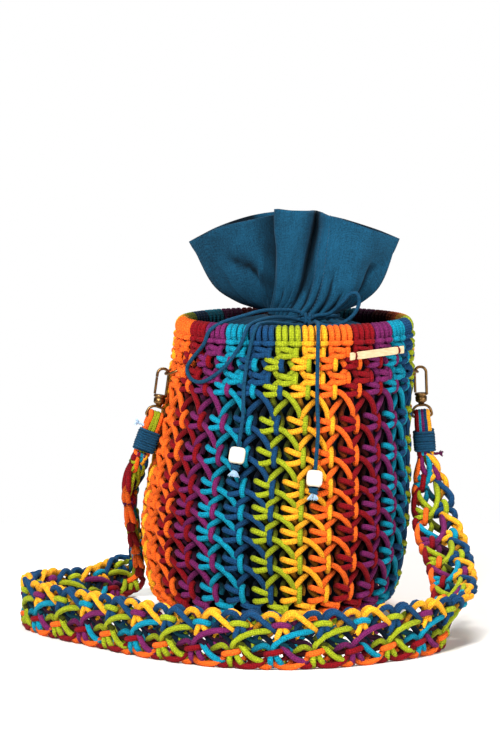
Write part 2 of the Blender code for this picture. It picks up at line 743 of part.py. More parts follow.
def wooden_tag(material):
    """A small flat bar with softened edges, tangent to the net."""
    centre = wall_point(TAG_AZIMUTH, TAG_HEIGHT, TAG_STANDOFF)
    angle, tilt = math.radians(TAG_AZIMUTH), math.radians(TAG_TILT)
    outward = Vector((math.sin(angle), -math.cos(angle), 0.0))
    level = Vector((math.cos(angle), math.sin(angle), 0.0))
    upward = Vector((0.0, 0.0, 1.0))
    along = level * math.cos(tilt) + upward * math.sin(tilt)
    over = outward.cross(along) * -1.0
    corners = []
    for a in (-0.5, 0.5):
        for b in (-0.5, 0.5):
            for c in (-0.5, 0.5):
                corners.append(centre + along * TAG_SIZE[0] * a + outward * TAG_SIZE[1] * b + over * TAG_SIZE[2] * c)
    faces = [(0, 1, 3, 2), (4, 5, 7, 6), (0, 1, 5, 4), (2, 3, 7, 6), (0, 2, 6, 4), (1, 3, 7, 5)]
    tag = mesh_object("wooden_tag", corners, faces, material, smooth=False)
    bevel = tag.modifiers.new("soft_edges", "BEVEL")
    bevel.width = 0.0004
    bevel.segments = 1


def fitting_frame(side):
    """The places and directions of one ring, hook and D loop."""
    setting = FITTINGS[side]
    azimuth = column_azimuth(setting["column"], 0.75, RING_HEIGHT)
    angle = math.radians(azimuth)
    outward = Vector((math.sin(angle), -math.cos(angle), 0.0))
    tangent = Vector((math.cos(angle), math.sin(angle), 0.0))
    upward = Vector((0.0, 0.0, 1.0))
    tilt = math.radians(RING_TILT)
    ring_centre = wall_point(azimuth, RING_HEIGHT, setting["ring_out"])
    ring_way = outward * math.cos(tilt) - upward * math.sin(tilt)
    ring_wire = ring_centre + ring_way * RING_RADIUS
    lean = math.radians(setting["hook_lean"])
    hook_up = upward * math.cos(lean) - outward * math.sin(lean)
    hook_out = outward * math.cos(lean) + upward * math.sin(lean)
    hook_base = ring_wire + hook_out * HOOK_PAST_RING - hook_up * HOOK_BELOW_RING
    lean = math.radians(setting["loop_lean"])
    down = outward * math.sin(lean) - upward * math.cos(lean)
    bar = outward * math.cos(lean) + upward * math.sin(lean)
    loop_top = hook_base - hook_up * (BARREL_LENGTH + LOOP_SEAT)
    return {
        "tangent": tangent, "ring_centre": ring_centre, "ring_way": ring_way,
        "hook_up": hook_up, "hook_out": hook_out, "hook_base": hook_base,
        "down": down, "bar": bar, "loop_top": loop_top, "bar_centre": loop_top + down * LOOP_DROP,
        "gate_side": setting["gate_side"],
    }


def metal_fittings(side, metal):
    """The ring through the net, the hook with its barrel, the gate and the D loop of one side."""
    place = fitting_frame(side)
    outward, tangent, upward = place["hook_out"], place["tangent"], place["hook_up"]
    ring = [
        place["ring_centre"] + (place["ring_way"] * math.cos(angle) + tangent * math.sin(angle)) * RING_RADIUS
        for angle in (math.tau * step / 18 for step in range(18))
    ]
    mesh_object(f"ring_{side}", *tube(ring, RING_WIRE, 6, closed=True), metal)

    base, gate_way = place["hook_base"], outward * place["gate_side"]
    crown = base + upward * HOOK_STRAIGHT
    hook = [base - gate_way * HOOK_HALF_WIDTH - upward * 0.0015, base - gate_way * HOOK_HALF_WIDTH + upward * 0.009]
    for step in range(9):
        turn = math.pi * step / 8
        hook.append(crown + gate_way * HOOK_HALF_WIDTH * -math.cos(turn) + upward * HOOK_HALF_WIDTH * math.sin(turn))
    hook.append(base + gate_way * HOOK_HALF_WIDTH + upward * HOOK_NOSE)
    body = mesh_object(f"hook_{side}", *tube(hook, HOOK_WIRE, 6), metal)
    profile = (
        (0.42 * BARREL_RADIUS, -BARREL_LENGTH), (BARREL_RADIUS, 0.0030 - BARREL_LENGTH),
        (BARREL_RADIUS, -0.0012), (0.88 * BARREL_RADIUS, 0.0),
    )
    barrel = turned(profile, base, upward, 12, f"barrel_{side}", metal)
    barrel.hide_render = True
    barrel.display_type = "WIRE"
    union = body.modifiers.new("join_barrel", "BOOLEAN")
    union.operation = "UNION"
    union.object = barrel

    pivot = base + gate_way * HOOK_HALF_WIDTH + upward * GATE_PIVOT
    gate_path = [upward * height for height in (-0.0011, 0.002, 0.007, GATE_TOP - GATE_PIVOT)]
    gate = mesh_object(f"gate_{side}", *tube(gate_path, GATE_WIRE, 8), metal)
    gate.location = pivot

    half = list(LOOP_OUTLINE)
    outline = [(0.0, LOOP_DROP)] + [(-along, below) for along, below in reversed(half[1:])] + half
    corners = [place["loop_top"] + place["bar"] * along + place["down"] * below for along, below in outline]
    loop = even_curve(corners, 20, closed=True)
    mesh_object(f"d_loop_{side}", *tube(loop, LOOP_WIRE, 6, closed=True), metal)


def fold_stations(side):
    """The strap's folded end from under the whipping, over the bar and out below the whipping."""
    place = fitting_frame(side)
    centre, down, bar = place["bar_centre"], place["down"], place["bar"]
    across = bar.cross(down)
    spots = [(0.0180, LEG_SPREAD), (0.0110, LEG_SPREAD), (0.0050, 0.0031)]
    for step in range(7):
        turn = math.pi * step / 6
        spots.append((-FOLD_RADIUS * math.sin(turn), FOLD_RADIUS * math.cos(turn)))
    spots += [(0.0050, -0.0031), (0.0110, -LEG_SPREAD), (0.0200, -LEG_SPREAD), (0.0330, -LEG_SPREAD)]
    return [(centre + down * drop + across * spread, bar, FOLD_HALF_WIDTH) for drop, spread in spots]


def strap_stations():
    """Every station along the strap: place, width direction, half width, and the kind of its net step."""
    left = fold_stations("left")
    right = list(reversed(fold_stations("right")))
    places = [left[-1][0]] + [Vector(row[:3]) for row in STRAP_PATH] + [right[0][0]]
    widths = [left[-1][1]] + [Vector(row[3:6]).normalized() for row in STRAP_PATH] + [right[0][1] * -1.0]
    halves = [FOLD_HALF_WIDTH] + [row[6] for row in STRAP_PATH] + [FOLD_HALF_WIDTH]
    for index in range(1, len(widths)):
        if widths[index].dot(widths[index - 1]) < 0:
            widths[index] = widths[index] * -1.0
    fine = 600
    dense = [catmull(places, step / fine) for step in range(fine + 1)]
    lengths = [0.0]
    for first, second in zip(dense, dense[1:]):
        lengths.append(lengths[-1] + (second - first).length)
    repeats = round(lengths[-1] / STRAP_REPEAT)
    steps = repeats * 4
    middle = []
    index = 0
    sizes = [Vector((half, 0.0, 0.0)) for half in halves]
    for step in range(1, steps):
        target = lengths[-1] * step / steps
        while lengths[index + 1] < target:
            index += 1
        share = (index + (target - lengths[index]) / (lengths[index + 1] - lengths[index])) / fine
        middle.append((catmull(places, share), catmull(widths, share), catmull(sizes, share).x, step % 4))
    flip = -1.0 if widths[-1].dot(right[0][1]) < 0 else 1.0
    stations = [(spot, width, half, None) for spot, width, half in left]
    stations += middle
    stations += [(spot, width * flip, half, None) for spot, width, half in right]
    return stations


def knotted_strap(material):
    """The strap as one band with gaps cut through it, folded over both D loops."""
    stations = strap_stations()
    count = len(stations)
    points, front, back = [], [], []
    for index, (spot, width, half, phase) in enumerate(stations):
        ahead = stations[min(index + 1, count - 1)][0]
        behind = stations[max(index - 1, 0)][0]
        along = (ahead - behind).normalized()
        width = (width - along * width.dot(along)).normalized()
        face_way = along.cross(width)
        row_front, row_back = [], []
        for line, share in enumerate(STRAP_LINES):
            shift, thick = 0.0, STRAP_THIN
            if phase is None:
                thick = FOLD_HALF_THICKNESS
            else:
                if line in (1, 2) and phase == 1 or line in (3, 4) and phase == 3:
                    shift = -0.05 if line in (1, 3) else 0.05
                knot = line in (1, 2) and phase == 3 or line in (3, 4) and phase == 1
                thick = STRAP_THICK if knot else STRAP_THIN
                thick = min(thick, 0.30 * half)
            spot_at = spot + width * (2.0 * half * (share + shift))
            points.append(spot_at + face_way * thick)
            row_front.append(len(points) - 1)
            points.append(spot_at - face_way * thick)
            row_back.append(len(points) - 1)
        front.append(row_front)
        back.append(row_back)
    open_cells = set()
    for index in range(count - 1):
        phase, after = stations[index][3], stations[index + 1][3]
        wide = min(stations[index][2], stations[index + 1][2]) > 0.6 * STRAP_WIDTH / 2
        if phase is None or after is None or not wide:
            continue
        open_cells.add((index, 1 if phase in (0, 1) else 3))
    gapped = {}
    for index, line in open_cells:
        gapped.setdefault(line, set()).add(index)
    whole = set()
    for line, indices in gapped.items():
        for index in indices:
            first = stations[index][3] in (0, 2)
            mate = index + 1 if first else index - 1
            if mate in indices:
                whole.add((index, line))
    faces = strap_faces(front, back, count, whole)
    return mesh_object("knotted_strap", points, faces, material)


def strap_faces(front, back, count, whole):
    """Faces of both sides of the strap, its edges, its ends and the walls of its gaps."""
    faces = []
    last_line = len(STRAP_LINES) - 1
    for index in range(count - 1):
        for line in range(last_line):
            f, g = front[index], front[index + 1]
            b, c = back[index], back[index + 1]
            if (index, line) in whole:
                faces.append((f[line], g[line], c[line], b[line]))
                faces.append((f[line + 1], g[line + 1], c[line + 1], b[line + 1]))
                if (index - 1, line) not in whole:
                    faces.append((f[line], f[line + 1], b[line + 1], b[line]))
                if (index + 1, line) not in whole:
                    faces.append((g[line], g[line + 1], c[line + 1], c[line]))
                continue
            faces.append((f[line], f[line + 1], g[line + 1], g[line]))
            faces.append((b[line], b[line + 1], c[line + 1], c[line]))
        for edge in (0, last_line):
            faces.append((front[index][edge], front[index + 1][edge], back[index + 1][edge], back[index][edge]))
    for end in (0, count - 1):
        faces.append(tuple(front[end]) + tuple(reversed(back[end])))
    return faces


def whipping(side, material):
    """A short sleeve of wound thread around the two legs of the strap's fold."""
    place = fitting_frame(side)
    centre, down, bar = place["bar_centre"], place["down"], place["bar"]
    across = bar.cross(down)
    inner = (FOLD_HALF_WIDTH + WHIP_CLEARANCE, LEG_SPREAD + FOLD_HALF_THICKNESS + WHIP_CLEARANCE)
    outer = (inner[0] + WHIP_WALL, inner[1] + WHIP_WALL)
    power = 0.42

    def corner(step, half_sizes, drop):
        angle = math.tau * (step + 0.5) / WHIP_SIDES
        cosine, sine = math.cos(angle), math.sin(angle)
        along = math.copysign(abs(cosine) ** power, cosine) * half_sizes[0]
        beside = math.copysign(abs(sine) ** power, sine) * half_sizes[1]
        return centre + down * drop + bar * along + across * beside

    points, faces, rows = [], [], []
    for row in range(WHIP_ROWS):
        drop = WHIP_START + WHIP_LENGTH * row / (WHIP_ROWS - 1)
        ridge = WHIP_RIDGE if row % 2 else -WHIP_RIDGE
        sizes = (outer[0] + ridge, outer[1] + ridge)
        rows.append([corner(step, sizes, drop) for step in range(WHIP_SIDES)])
    grown = (inner[0] * 1.12, inner[1] * 1.12)
    for drop in (WHIP_START + WHIP_LENGTH, WHIP_START):
        rows.append([corner(step, grown, drop) for step in range(WHIP_SIDES)])
    for row in rows:
        points.extend(row)
    for index in range(len(rows)):
        here, there = index * WHIP_SIDES, ((index + 1) % len(rows)) * WHIP_SIDES
        for step in range(WHIP_SIDES):
            after = (step + 1) % WHIP_SIDES
            faces.append((here + step, here + after, there + after, there + step))
    return mesh_object(f"whipping_{side}", points, faces, material)


def main():
    """Build every piece of the bag."""
    clear_scene()
    net = make_material("knotted_cord", 0.85)
    cloth = make_material("blue_cotton", 0.80)
    cord = make_material("blue_cord", 0.75)
    wood = make_material("pale_wood", 0.55)
    metal = make_material("antique_brass", 0.35, 1.0)
    knotted_body(net)
    drawstring_pouch(cloth)
    drawcord(cord, wood)
    wooden_tag(wood)
    for side in FITTINGS:
        metal_fittings(side, metal)
        whipping(side, cord)
    knotted_strap(net)


main()
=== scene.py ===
"""Dressed model of a knotted bucket bag: net, drawstring pouch, drawcord, fittings and strap.

Metres, +Z up, front towards -Y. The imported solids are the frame; every piece here replaces one of them.
"""

import logging
from bisect import bisect_right
from dataclasses import dataclass, field
from enum import Enum
from math import atan2, copysign, cos, degrees, exp, hypot, pi, radians, sin, sqrt, tau
from random import Random

import bmesh
import bpy
import numpy as np
from bpy.types import Material, Mesh, Node, NodeSocket, NodeTree, Object
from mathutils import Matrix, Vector, noise


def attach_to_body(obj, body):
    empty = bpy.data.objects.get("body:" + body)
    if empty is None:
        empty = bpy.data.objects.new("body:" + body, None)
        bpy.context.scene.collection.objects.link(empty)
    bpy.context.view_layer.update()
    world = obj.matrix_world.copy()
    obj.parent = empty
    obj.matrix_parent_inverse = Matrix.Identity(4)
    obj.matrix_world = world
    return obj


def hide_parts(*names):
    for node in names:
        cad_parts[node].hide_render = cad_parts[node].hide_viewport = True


logging.basicConfig(level=logging.INFO, format="%(levelname)s %(message)s")
LOG = logging.getLogger("knotted_bag")

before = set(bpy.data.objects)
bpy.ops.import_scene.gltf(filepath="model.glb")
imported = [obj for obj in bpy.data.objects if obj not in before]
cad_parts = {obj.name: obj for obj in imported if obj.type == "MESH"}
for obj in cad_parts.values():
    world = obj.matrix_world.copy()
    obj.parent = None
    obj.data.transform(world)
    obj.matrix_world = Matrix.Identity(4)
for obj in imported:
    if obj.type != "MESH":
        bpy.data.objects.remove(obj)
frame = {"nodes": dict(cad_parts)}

# The net, as in the solids: columns of knots, its twist in degrees, and the wall's height, radius and lean
COLUMNS = 28
COLUMN_STEP = 360.0 / COLUMNS
TWIST_AT_BASE, TWIST_AT_RIM, RIM_HEIGHT = -3.0, -9.0, 0.247
WALL_ROWS = (
    (0.0, 0.07, 0.0), (0.008, 0.088, 0.0), (0.019, 0.098, 0.0003), (0.045, 0.1045, 0.001), (0.078, 0.1075, 0.002),
    (0.12, 0.105, 0.006), (0.162, 0.1005, 0.0105), (0.196, 0.098, 0.015), (0.235, 0.095, 0.018),
    (0.247, 0.094, 0.018),
)
KNOT_HEIGHTS = (0.2186, 0.1967, 0.1684, 0.1425, 0.1166, 0.0972, 0.0778, 0.0543, 0.0284)

# Strands of one mesh of the net: across in columns, share of the way down, distance out
FRONT_ARC = (
    (0.2, 0.02, 0.0008), (0.31, 0.06, 0.0026), (0.49, 0.145, 0.0036), (0.7, 0.32, 0.0036), (0.9, 0.57, 0.003),
    (1.0, 0.79, 0.0018), (1.03, 0.92, 0.0004),
)
BACK_ARC = (
    (0.88, 0.04, -0.0012), (0.68, 0.12, -0.0024), (0.5, 0.27, -0.0008), (0.26, 0.43, 0.0022), (0.07, 0.62, 0.0026),
    (-0.03, 0.81, 0.0016), (-0.06, 0.93, 0.0002),
)
LEFT_STRAND = (
    (-0.13, 0.18, 0.0008), (-0.03, 0.34, -0.0006), (0.1, 0.5, -0.0028), (0.24, 0.68, -0.0022),
    (0.33, 0.85, -0.0006), (0.3, 1.0, 0.0002),
)
RIGHT_STRAND = (
    (0.88, 0.2, -0.0008), (0.8, 0.38, -0.0026), (0.66, 0.54, -0.0022), (0.59, 0.68, -0.0012), (0.63, 0.86, -0.0008),
    (0.8, 1.02, -0.0006),
)

# Turns of one knot: across in columns, height and distance out in millimetres
UPPER_TURN = ((-0.42, 6.4, 0.4), (-0.36, 6.2, 2.9), (-0.18, 4.6, 4.4), (0.0, 3.0, 3.8), (0.09, 2.0, 1.4))
LOWER_TURN = ((-0.42, -4.6, 0.4), (-0.36, -4.7, 2.9), (-0.18, -4.0, 4.4), (0.0, -3.0, 3.8), (0.09, -2.2, 1.4))
SIDE_TURN = ((0.19, 8.0, 0.4), (0.165, 5.6, 3.0), (0.155, 0.2, 4.2), (0.165, -4.8, 3.0), (0.2, -7.2, 0.4))
# Height of the knots of the three tight upper rows against the measured one
UPPER_SCALES = (0.66, 0.72, 0.9)
# Extra knots between the columns: height and size
MIDDLE_KNOTS = ((0.2277, 0.56), (0.206, 0.6), (0.0165, 0.6))

# Lark's heads over the rim: places across a column, then height and distance out of one loop
RIM_LOOPS = (0.055, 0.285, 0.545, 0.775)
RIM_OUTLINE = (
    (0.2368, 0.001), (0.239, 0.003), (0.2428, 0.004), (0.2466, 0.0028), (0.2484, 0.0), (0.247, -0.0028),
    (0.243, -0.004), (0.238, -0.0036), (0.233, -0.0026),
)
# The bar across each pair of loops: its place, and its height and course outside and inside the rim
RIM_BARS = (0.17, 0.66)
OUTER_BAR = (0.2358, ((-0.19, -0.0006), (-0.15, 0.0032), (0.0, 0.005), (0.15, 0.0032), (0.19, -0.0006)))
INNER_BAR = (0.23, ((-0.18, -0.003), (0.0, -0.0046), (0.18, -0.003)))

# Short strands of the tight band under the rim and of the foot: across, height, distance out
TIGHT_STRANDS = (
    ((0.02, 0.2335, 0.0006), (0.03, 0.23, 0.0028), (0.06, 0.2262, 0.0008)),
    ((0.2, 0.2268, 0.001), (0.06, 0.2245, 0.003), (-0.1, 0.2215, 0.0008)),
    ((0.74, 0.2235, 0.0006), (0.86, 0.2215, 0.0026), (0.96, 0.2185, 0.0006)),
    ((0.46, 0.2212, 0.0006), (0.56, 0.218, 0.0024), (0.64, 0.215, 0.0008)),
    ((0.64, 0.2132, 0.0006), (0.52, 0.2112, 0.0024), (0.4, 0.2088, 0.0008)),
    ((-0.1, 0.2135, 0.0006), (0.0, 0.2108, 0.0026), (0.1, 0.2076, 0.0008)),
    ((0.18, 0.2055, 0.001), (0.04, 0.2035, 0.003), (-0.1, 0.2005, 0.0008)),
    ((0.74, 0.202, 0.0006), (0.86, 0.1998, 0.0026), (0.95, 0.197, 0.0006)),
    (
        (0.24, 0.233, -0.002), (0.3, 0.226, -0.0026), (0.22, 0.218, -0.0026), (0.3, 0.21, -0.0026),
        (0.24, 0.201, -0.002),
    ),
    (
        (0.84, 0.233, -0.002), (0.78, 0.226, -0.0026), (0.86, 0.218, -0.0026), (0.78, 0.21, -0.0026),
        (0.84, 0.201, -0.002),
    ),
)
FOOT_STRANDS = (
    ((0.04, 0.027, 0.0004), (0.16, 0.0235, 0.0024), (0.3, 0.0205, 0.0008)),
    ((0.94, 0.027, 0.0), (0.84, 0.023, 0.0018), (0.68, 0.0195, 0.0006)),
    ((0.34, 0.0135, 0.0006), (0.22, 0.0115, 0.002), (0.08, 0.0095, 0.0004)),
    ((0.68, 0.013, 0.0004), (0.8, 0.011, 0.0018), (0.92, 0.009, 0.0004)),
)
# Cords that turn in under the base: across, height where they start, share of the radius where they end
BASE_CORDS = ((-0.14, 0.006, 0.42), (0.12, 0.006, 0.62), (0.36, 0.013, 0.42), (0.62, 0.013, 0.62))
BASE_EDGE, BASE_EDGE_OUT, BASE_HEIGHT = 0.0026, -0.006, 0.0025

# Where the wooden tag lies, and the bed that it presses in the net: axis, half height, half angle, distance out
TAG_AZIMUTH, TAG_HEIGHT = 41.2, 0.2262
BED_AXIS, BED_HALF_HEIGHT, BED_HALF_ANGLE, BED_OUT = 0.0175, 0.0048, 17.5, 0.0034


class CordColour(Enum):
    """Colours of the net's cords, in their order round the bag."""

    LIME = "98A41C"
    YELLOW = "F7A823"
    ORANGE = "F2661E"
    DARK_RED = "800A15"
    PURPLE = "6E1F56"
    TURQUOISE = "0787A3"
    DENIM = "123F66"


CYCLE = tuple(CordColour)
DOUBLE_COLUMN = -6


def colour_of(column: int) -> CordColour:
    """Colour of a column of the net; the orange at the left side is two columns wide."""
    place = (column + COLUMNS // 2) % COLUMNS - COLUMNS // 2
    return CYCLE[(place + (1 if place <= DOUBLE_COLUMN else 0)) % len(CYCLE)]


def linear(code: str) -> tuple[float, float, float, float]:
    """Turn an sRGB hex code into a linear colour."""
    parts = [int(code[index : index + 2], 16) / 255 for index in (0, 2, 4)]
    return (*[part / 12.92 if part <= 0.04045 else ((part + 0.055) / 1.055) ** 2.4 for part in parts], 1.0)


# ---- lines and places


def limit(value: float, low: float = 0.0, high: float = 1.0) -> float:
    """Keep a value between two bounds."""
    return min(max(value, low), high)


def signed_power(value: float, power: float) -> float:
    """Raise a value's size to a power and keep its sign."""
    return copysign(abs(value) ** power, value)


def blend_rows(rows: tuple, height: float) -> list[float]:
    """Read a table smoothly between its rows.

    Args:
        rows: Rows whose first value is a height.
        height: Height to read at.

    Returns:
        The other values at that height.
    """
    last = len(rows) - 1
    index = 0
    while index < last - 1 and height > rows[index + 1][0]:
        index += 1
    low, high = rows[index], rows[index + 1]
    before, after = rows[max(index - 1, 0)], rows[min(index + 2, last)]
    span = high[0] - low[0]
    t = limit((height - low[0]) / span)
    square, cube = t * t, t * t * t
    values = []
    for item in range(1, len(low)):
        slope_low = (high[item] - before[item]) / (high[0] - before[0])
        slope_high = (after[item] - low[item]) / (after[0] - low[0])
        values.append(
            low[item] * (2 * cube - 3 * square + 1) + slope_low * span * (cube - 2 * square + t)
            + high[item] * (3 * square - 2 * cube) + slope_high * span * (cube - square)
        )
    return values


def catmull(points: list[Vector], share: float, closed: bool = False) -> Vector:
    """Find a point on a smooth curve.

    Args:
        points: Points that the curve passes through.
        share: Place from 0 to 1.
        closed: Whether the curve closes on itself.

    Returns:
        The point.
    """
    count = len(points)
    spans = count if closed else count - 1
    place = limit(share) * spans
    index = min(int(place), spans - 1)
    t = place - index
    before, low, high, after = (
        points[at % count if closed else min(max(at, 0), count - 1)] for at in range(index - 1, index + 3)
    )
    return 0.5 * (
        2 * low + (high - before) * t + (2 * before - 5 * low + 4 * high - after) * t * t
        + (3 * low - before - 3 * high + after) * t * t * t
    )


def smooth_line(points: list[Vector], steps: int) -> list[Vector]:
    """Read a smooth line through a few points."""
    return [catmull(points, step / (steps - 1)) for step in range(steps)]


def reaches(points: list[Vector]) -> list[float]:
    """Measure how far along a line each of its points lies.

    Args:
        points: The line; only x, y and z count.

    Returns:
        A length in metres for each point.
    """
    lengths = [0.0]
    for first, second in zip(points, points[1:]):
        lengths.append(lengths[-1] + (second.xyz - first.xyz).length)
    return lengths


def even_curve(points: list[Vector], count: int, closed: bool = False, fine: int = 400) -> list[Vector]:
    """Place points an equal distance apart along a smooth curve.

    Args:
        points: Points that the curve passes through.
        count: How many points to return.
        closed: Whether the curve closes on itself.
        fine: Steps used to measure its length.

    Returns:
        The points.
    """
    dense = [catmull(points, step / fine, closed) for step in range(fine + 1)]
    lengths = reaches(dense)
    steps = count if closed else count - 1
    found, index = [], 0
    for step in range(count):
        target = lengths[-1] * step / steps
        while index < fine - 1 and lengths[index + 1] < target:
            index += 1
        span = lengths[index + 1] - lengths[index]
        found.append(dense[index].lerp(dense[index + 1], limit((target - lengths[index]) / span if span else 0.0)))
    return found


def wall_point(azimuth: float, height: float, distance_out: float) -> Vector:
    """Find a point on or near the net's wall.

    Args:
        azimuth: Degrees from the front, positive towards +X.
        height: Height above the floor.
        distance_out: Distance out from the wall's middle.

    Returns:
        The point.
    """
    radius, lean = blend_rows(WALL_ROWS, height)
    angle = radians(azimuth)
    reach = radius + distance_out
    return Vector((lean + reach * sin(angle), -reach * cos(angle), height))


def twist_at(height: float) -> float:
    """Find how far the net's columns have turned at a height."""
    return TWIST_AT_BASE + (TWIST_AT_RIM - TWIST_AT_BASE) * height / RIM_HEIGHT


def net_point(across: float, height: float, distance_out: float) -> Vector:
    """Find a point of the net by its place in the columns."""
    return wall_point(twist_at(height) + across * COLUMN_STEP, height, distance_out)


def compass(angle: float) -> tuple[Vector, Vector]:
    """Find the level directions at an azimuth."""
    return Vector((sin(angle), -cos(angle), 0.0)), Vector((cos(angle), sin(angle), 0.0))


def square_frame(way: Vector) -> tuple[Vector, Vector]:
    """Find two directions square to a third."""
    first = way.cross(Vector((0.0, 1.0, 0.0))).normalized()
    return first, way.cross(first).normalized()


def ring_points(centre: Vector, first: Vector, second: Vector, radius: float, steps: int) -> list[Vector]:
    """Place points round a circle."""
    angles = (tau * step / steps for step in range(steps))
    return [centre + (first * cos(angle) + second * sin(angle)) * radius for angle in angles]


# ---- meshes


def band_faces(rows: int, around: int, first: int = 0, closed: bool = False) -> list[tuple[int, ...]]:
    """List the faces between rows of points that go round.

    Args:
        rows: Number of rows.
        around: Points in a row.
        first: Number of the first point.
        closed: Whether the last row joins the first.

    Returns:
        The faces.
    """
    faces = []
    for row in range(rows if closed else rows - 1):
        here, there = first + row * around, first + (row + 1) % rows * around
        for step in range(around):
            after = (step + 1) % around
            faces.append((here + step, here + after, there + after, there + step))
    return faces


def link_mesh(mesh: Mesh, finish: Material | None = None) -> Object:
    """Put a mesh in the scene.

    Args:
        mesh: The mesh.
        finish: Its material, unless it has one.

    Returns:
        An object of the same name at the origin.
    """
    if finish and not mesh.materials:
        mesh.materials.append(finish)
    piece = bpy.data.objects.new(mesh.name, mesh)
    bpy.context.scene.collection.objects.link(piece)
    return piece


def new_mesh(name: str, points: list, faces: list) -> Mesh:
    """Make a mesh, smooth but for its faces of more than four corners.

    Args:
        name: Name of the mesh.
        points: Its points.
        faces: Its faces.

    Returns:
        The mesh.
    """
    mesh = bpy.data.meshes.new(name)
    mesh.from_pydata([tuple(point) for point in points], [], faces)
    for polygon in mesh.polygons:
        polygon.use_smooth = len(polygon.vertices) <= 4
    return mesh


def attach(piece: Object, slot: str, *nodes: str, body: str = "bag") -> Object:
    """Put a piece on a body in place of its solids.

    Args:
        piece: The piece.
        slot: Not used.
        *nodes: Solids that it replaces.
        body: Body that it rides on.

    Returns:
        The piece.
    """
    if nodes:
        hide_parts(*nodes)
    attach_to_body(piece, body)
    return piece


# ---- finishes


def add_node(tree: NodeTree, kind: str, links: dict | None = None, **settings: str) -> Node:
    """Add one node, set its properties and feed its inputs.

    Args:
        tree: Node tree to add to.
        kind: Node type.
        links: Input name or index to a socket or a value.
        **settings: Properties of the node.

    Returns:
        The node.
    """
    node = tree.nodes.new(kind)
    for name, value in settings.items():
        setattr(node, name, value)
    for name, value in (links or {}).items():
        if isinstance(value, NodeSocket):
            tree.links.new(value, node.inputs[name])
        else:
            node.inputs[name].default_value = value
    return node


def maths(tree: NodeTree, operation: str, first: NodeSocket | float, second: NodeSocket | float = 0.0) -> NodeSocket:
    """Add a Math node."""
    return add_node(tree, "ShaderNodeMath", {0: first, 1: second}, operation=operation).outputs[0]


def weigh(tree: NodeTree, base: NodeSocket | float, *terms: tuple) -> NodeSocket:
    """Add weighted sockets to a base.

    Args:
        tree: Node tree to add to.
        base: Socket or value to start from.
        *terms: Each a socket and its weight.

    Returns:
        The sum's socket.
    """
    for socket, weight in terms:
        base = maths(tree, "ADD", maths(tree, "MULTIPLY", socket, weight), base)
    return base


def speckle(tree: NodeTree, place: NodeSocket, scale: float, detail: float) -> NodeSocket:
    """Add a noise texture."""
    return add_node(tree, "ShaderNodeTexNoise", {"Vector": place, "Scale": scale, "Detail": detail}).outputs[0]


def stretch(tree: NodeTree, place: NodeSocket, scale: tuple) -> NodeSocket:
    """Scale coordinates along their axes."""
    return add_node(tree, "ShaderNodeVectorMath", {0: place, 1: scale}, operation="MULTIPLY").outputs[0]


class Surface:
    """A material under construction, with the few steps that the finishes share."""

    def __init__(self, name: str) -> None:
        self.material = bpy.data.materials.new(name)
        self.material.use_nodes = True
        self.tree = self.material.node_tree
        self.shader = self.tree.nodes["Principled BSDF"]

    def place(self) -> NodeSocket:
        """Read the object's own coordinates."""
        return add_node(self.tree, "ShaderNodeTexCoord").outputs["Object"]

    def noted(self, name: str, output: str) -> NodeSocket:
        """Read an attribute of the mesh."""
        return add_node(self.tree, "ShaderNodeAttribute", attribute_name=name).outputs[output]

    def paint(self, code: str, light: NodeSocket) -> None:
        """Colour the surface, with painted shade that darkens its points deep in hollows, where real shade falls.

        Args:
            code: sRGB hex code.
            light: Factor of the colour.
        """
        # Painted shade: each point's colour is scaled down by the share of shade noted on it
        shown = maths(self.tree, "SUBTRACT", 1.0, self.noted("painted_shade", "Fac"))
        light = maths(self.tree, "MULTIPLY", light, shown)
        links = {0: linear(code)[:3], "Scale": light}
        tint = add_node(self.tree, "ShaderNodeVectorMath", links, operation="SCALE")
        self.tree.links.new(tint.outputs[0], self.shader.inputs["Base Color"])

    def blend(self, factor: NodeSocket, code: str, other: str) -> None:
        """Colour the surface with two colours.

        Args:
            factor: Share of the second colour.
            code: sRGB hex code of the first.
            other: sRGB hex code of the second.
        """
        links = {"Factor": factor, "A": linear(code), "B": linear(other)}
        mix = add_node(self.tree, "ShaderNodeMix", links, data_type="RGBA")
        self.tree.links.new(mix.outputs["Result"], self.shader.inputs["Base Color"])

    def emboss(self, height: NodeSocket, distance: float, strength: float) -> None:
        """Raise a fine relief on the surface."""
        bump = add_node(self.tree, "ShaderNodeBump", {"Height": height, "Distance": distance, "Strength": strength})
        self.tree.links.new(bump.outputs[0], self.shader.inputs["Normal"])

    def settle(self, values: dict[str, float | tuple]) -> Material:
        """Set the shader's even values.

        Args:
            values: Input name to value.

        Returns:
            The finished material.
        """
        for name, value in values.items():
            self.shader.inputs[name].default_value = value
        return self.material


@dataclass(frozen=True)
class Finish:
    """What every finish has.

    Attributes:
        name: Name of the material.
        code: sRGB hex code of its colour.
    """

    name: str
    code: str


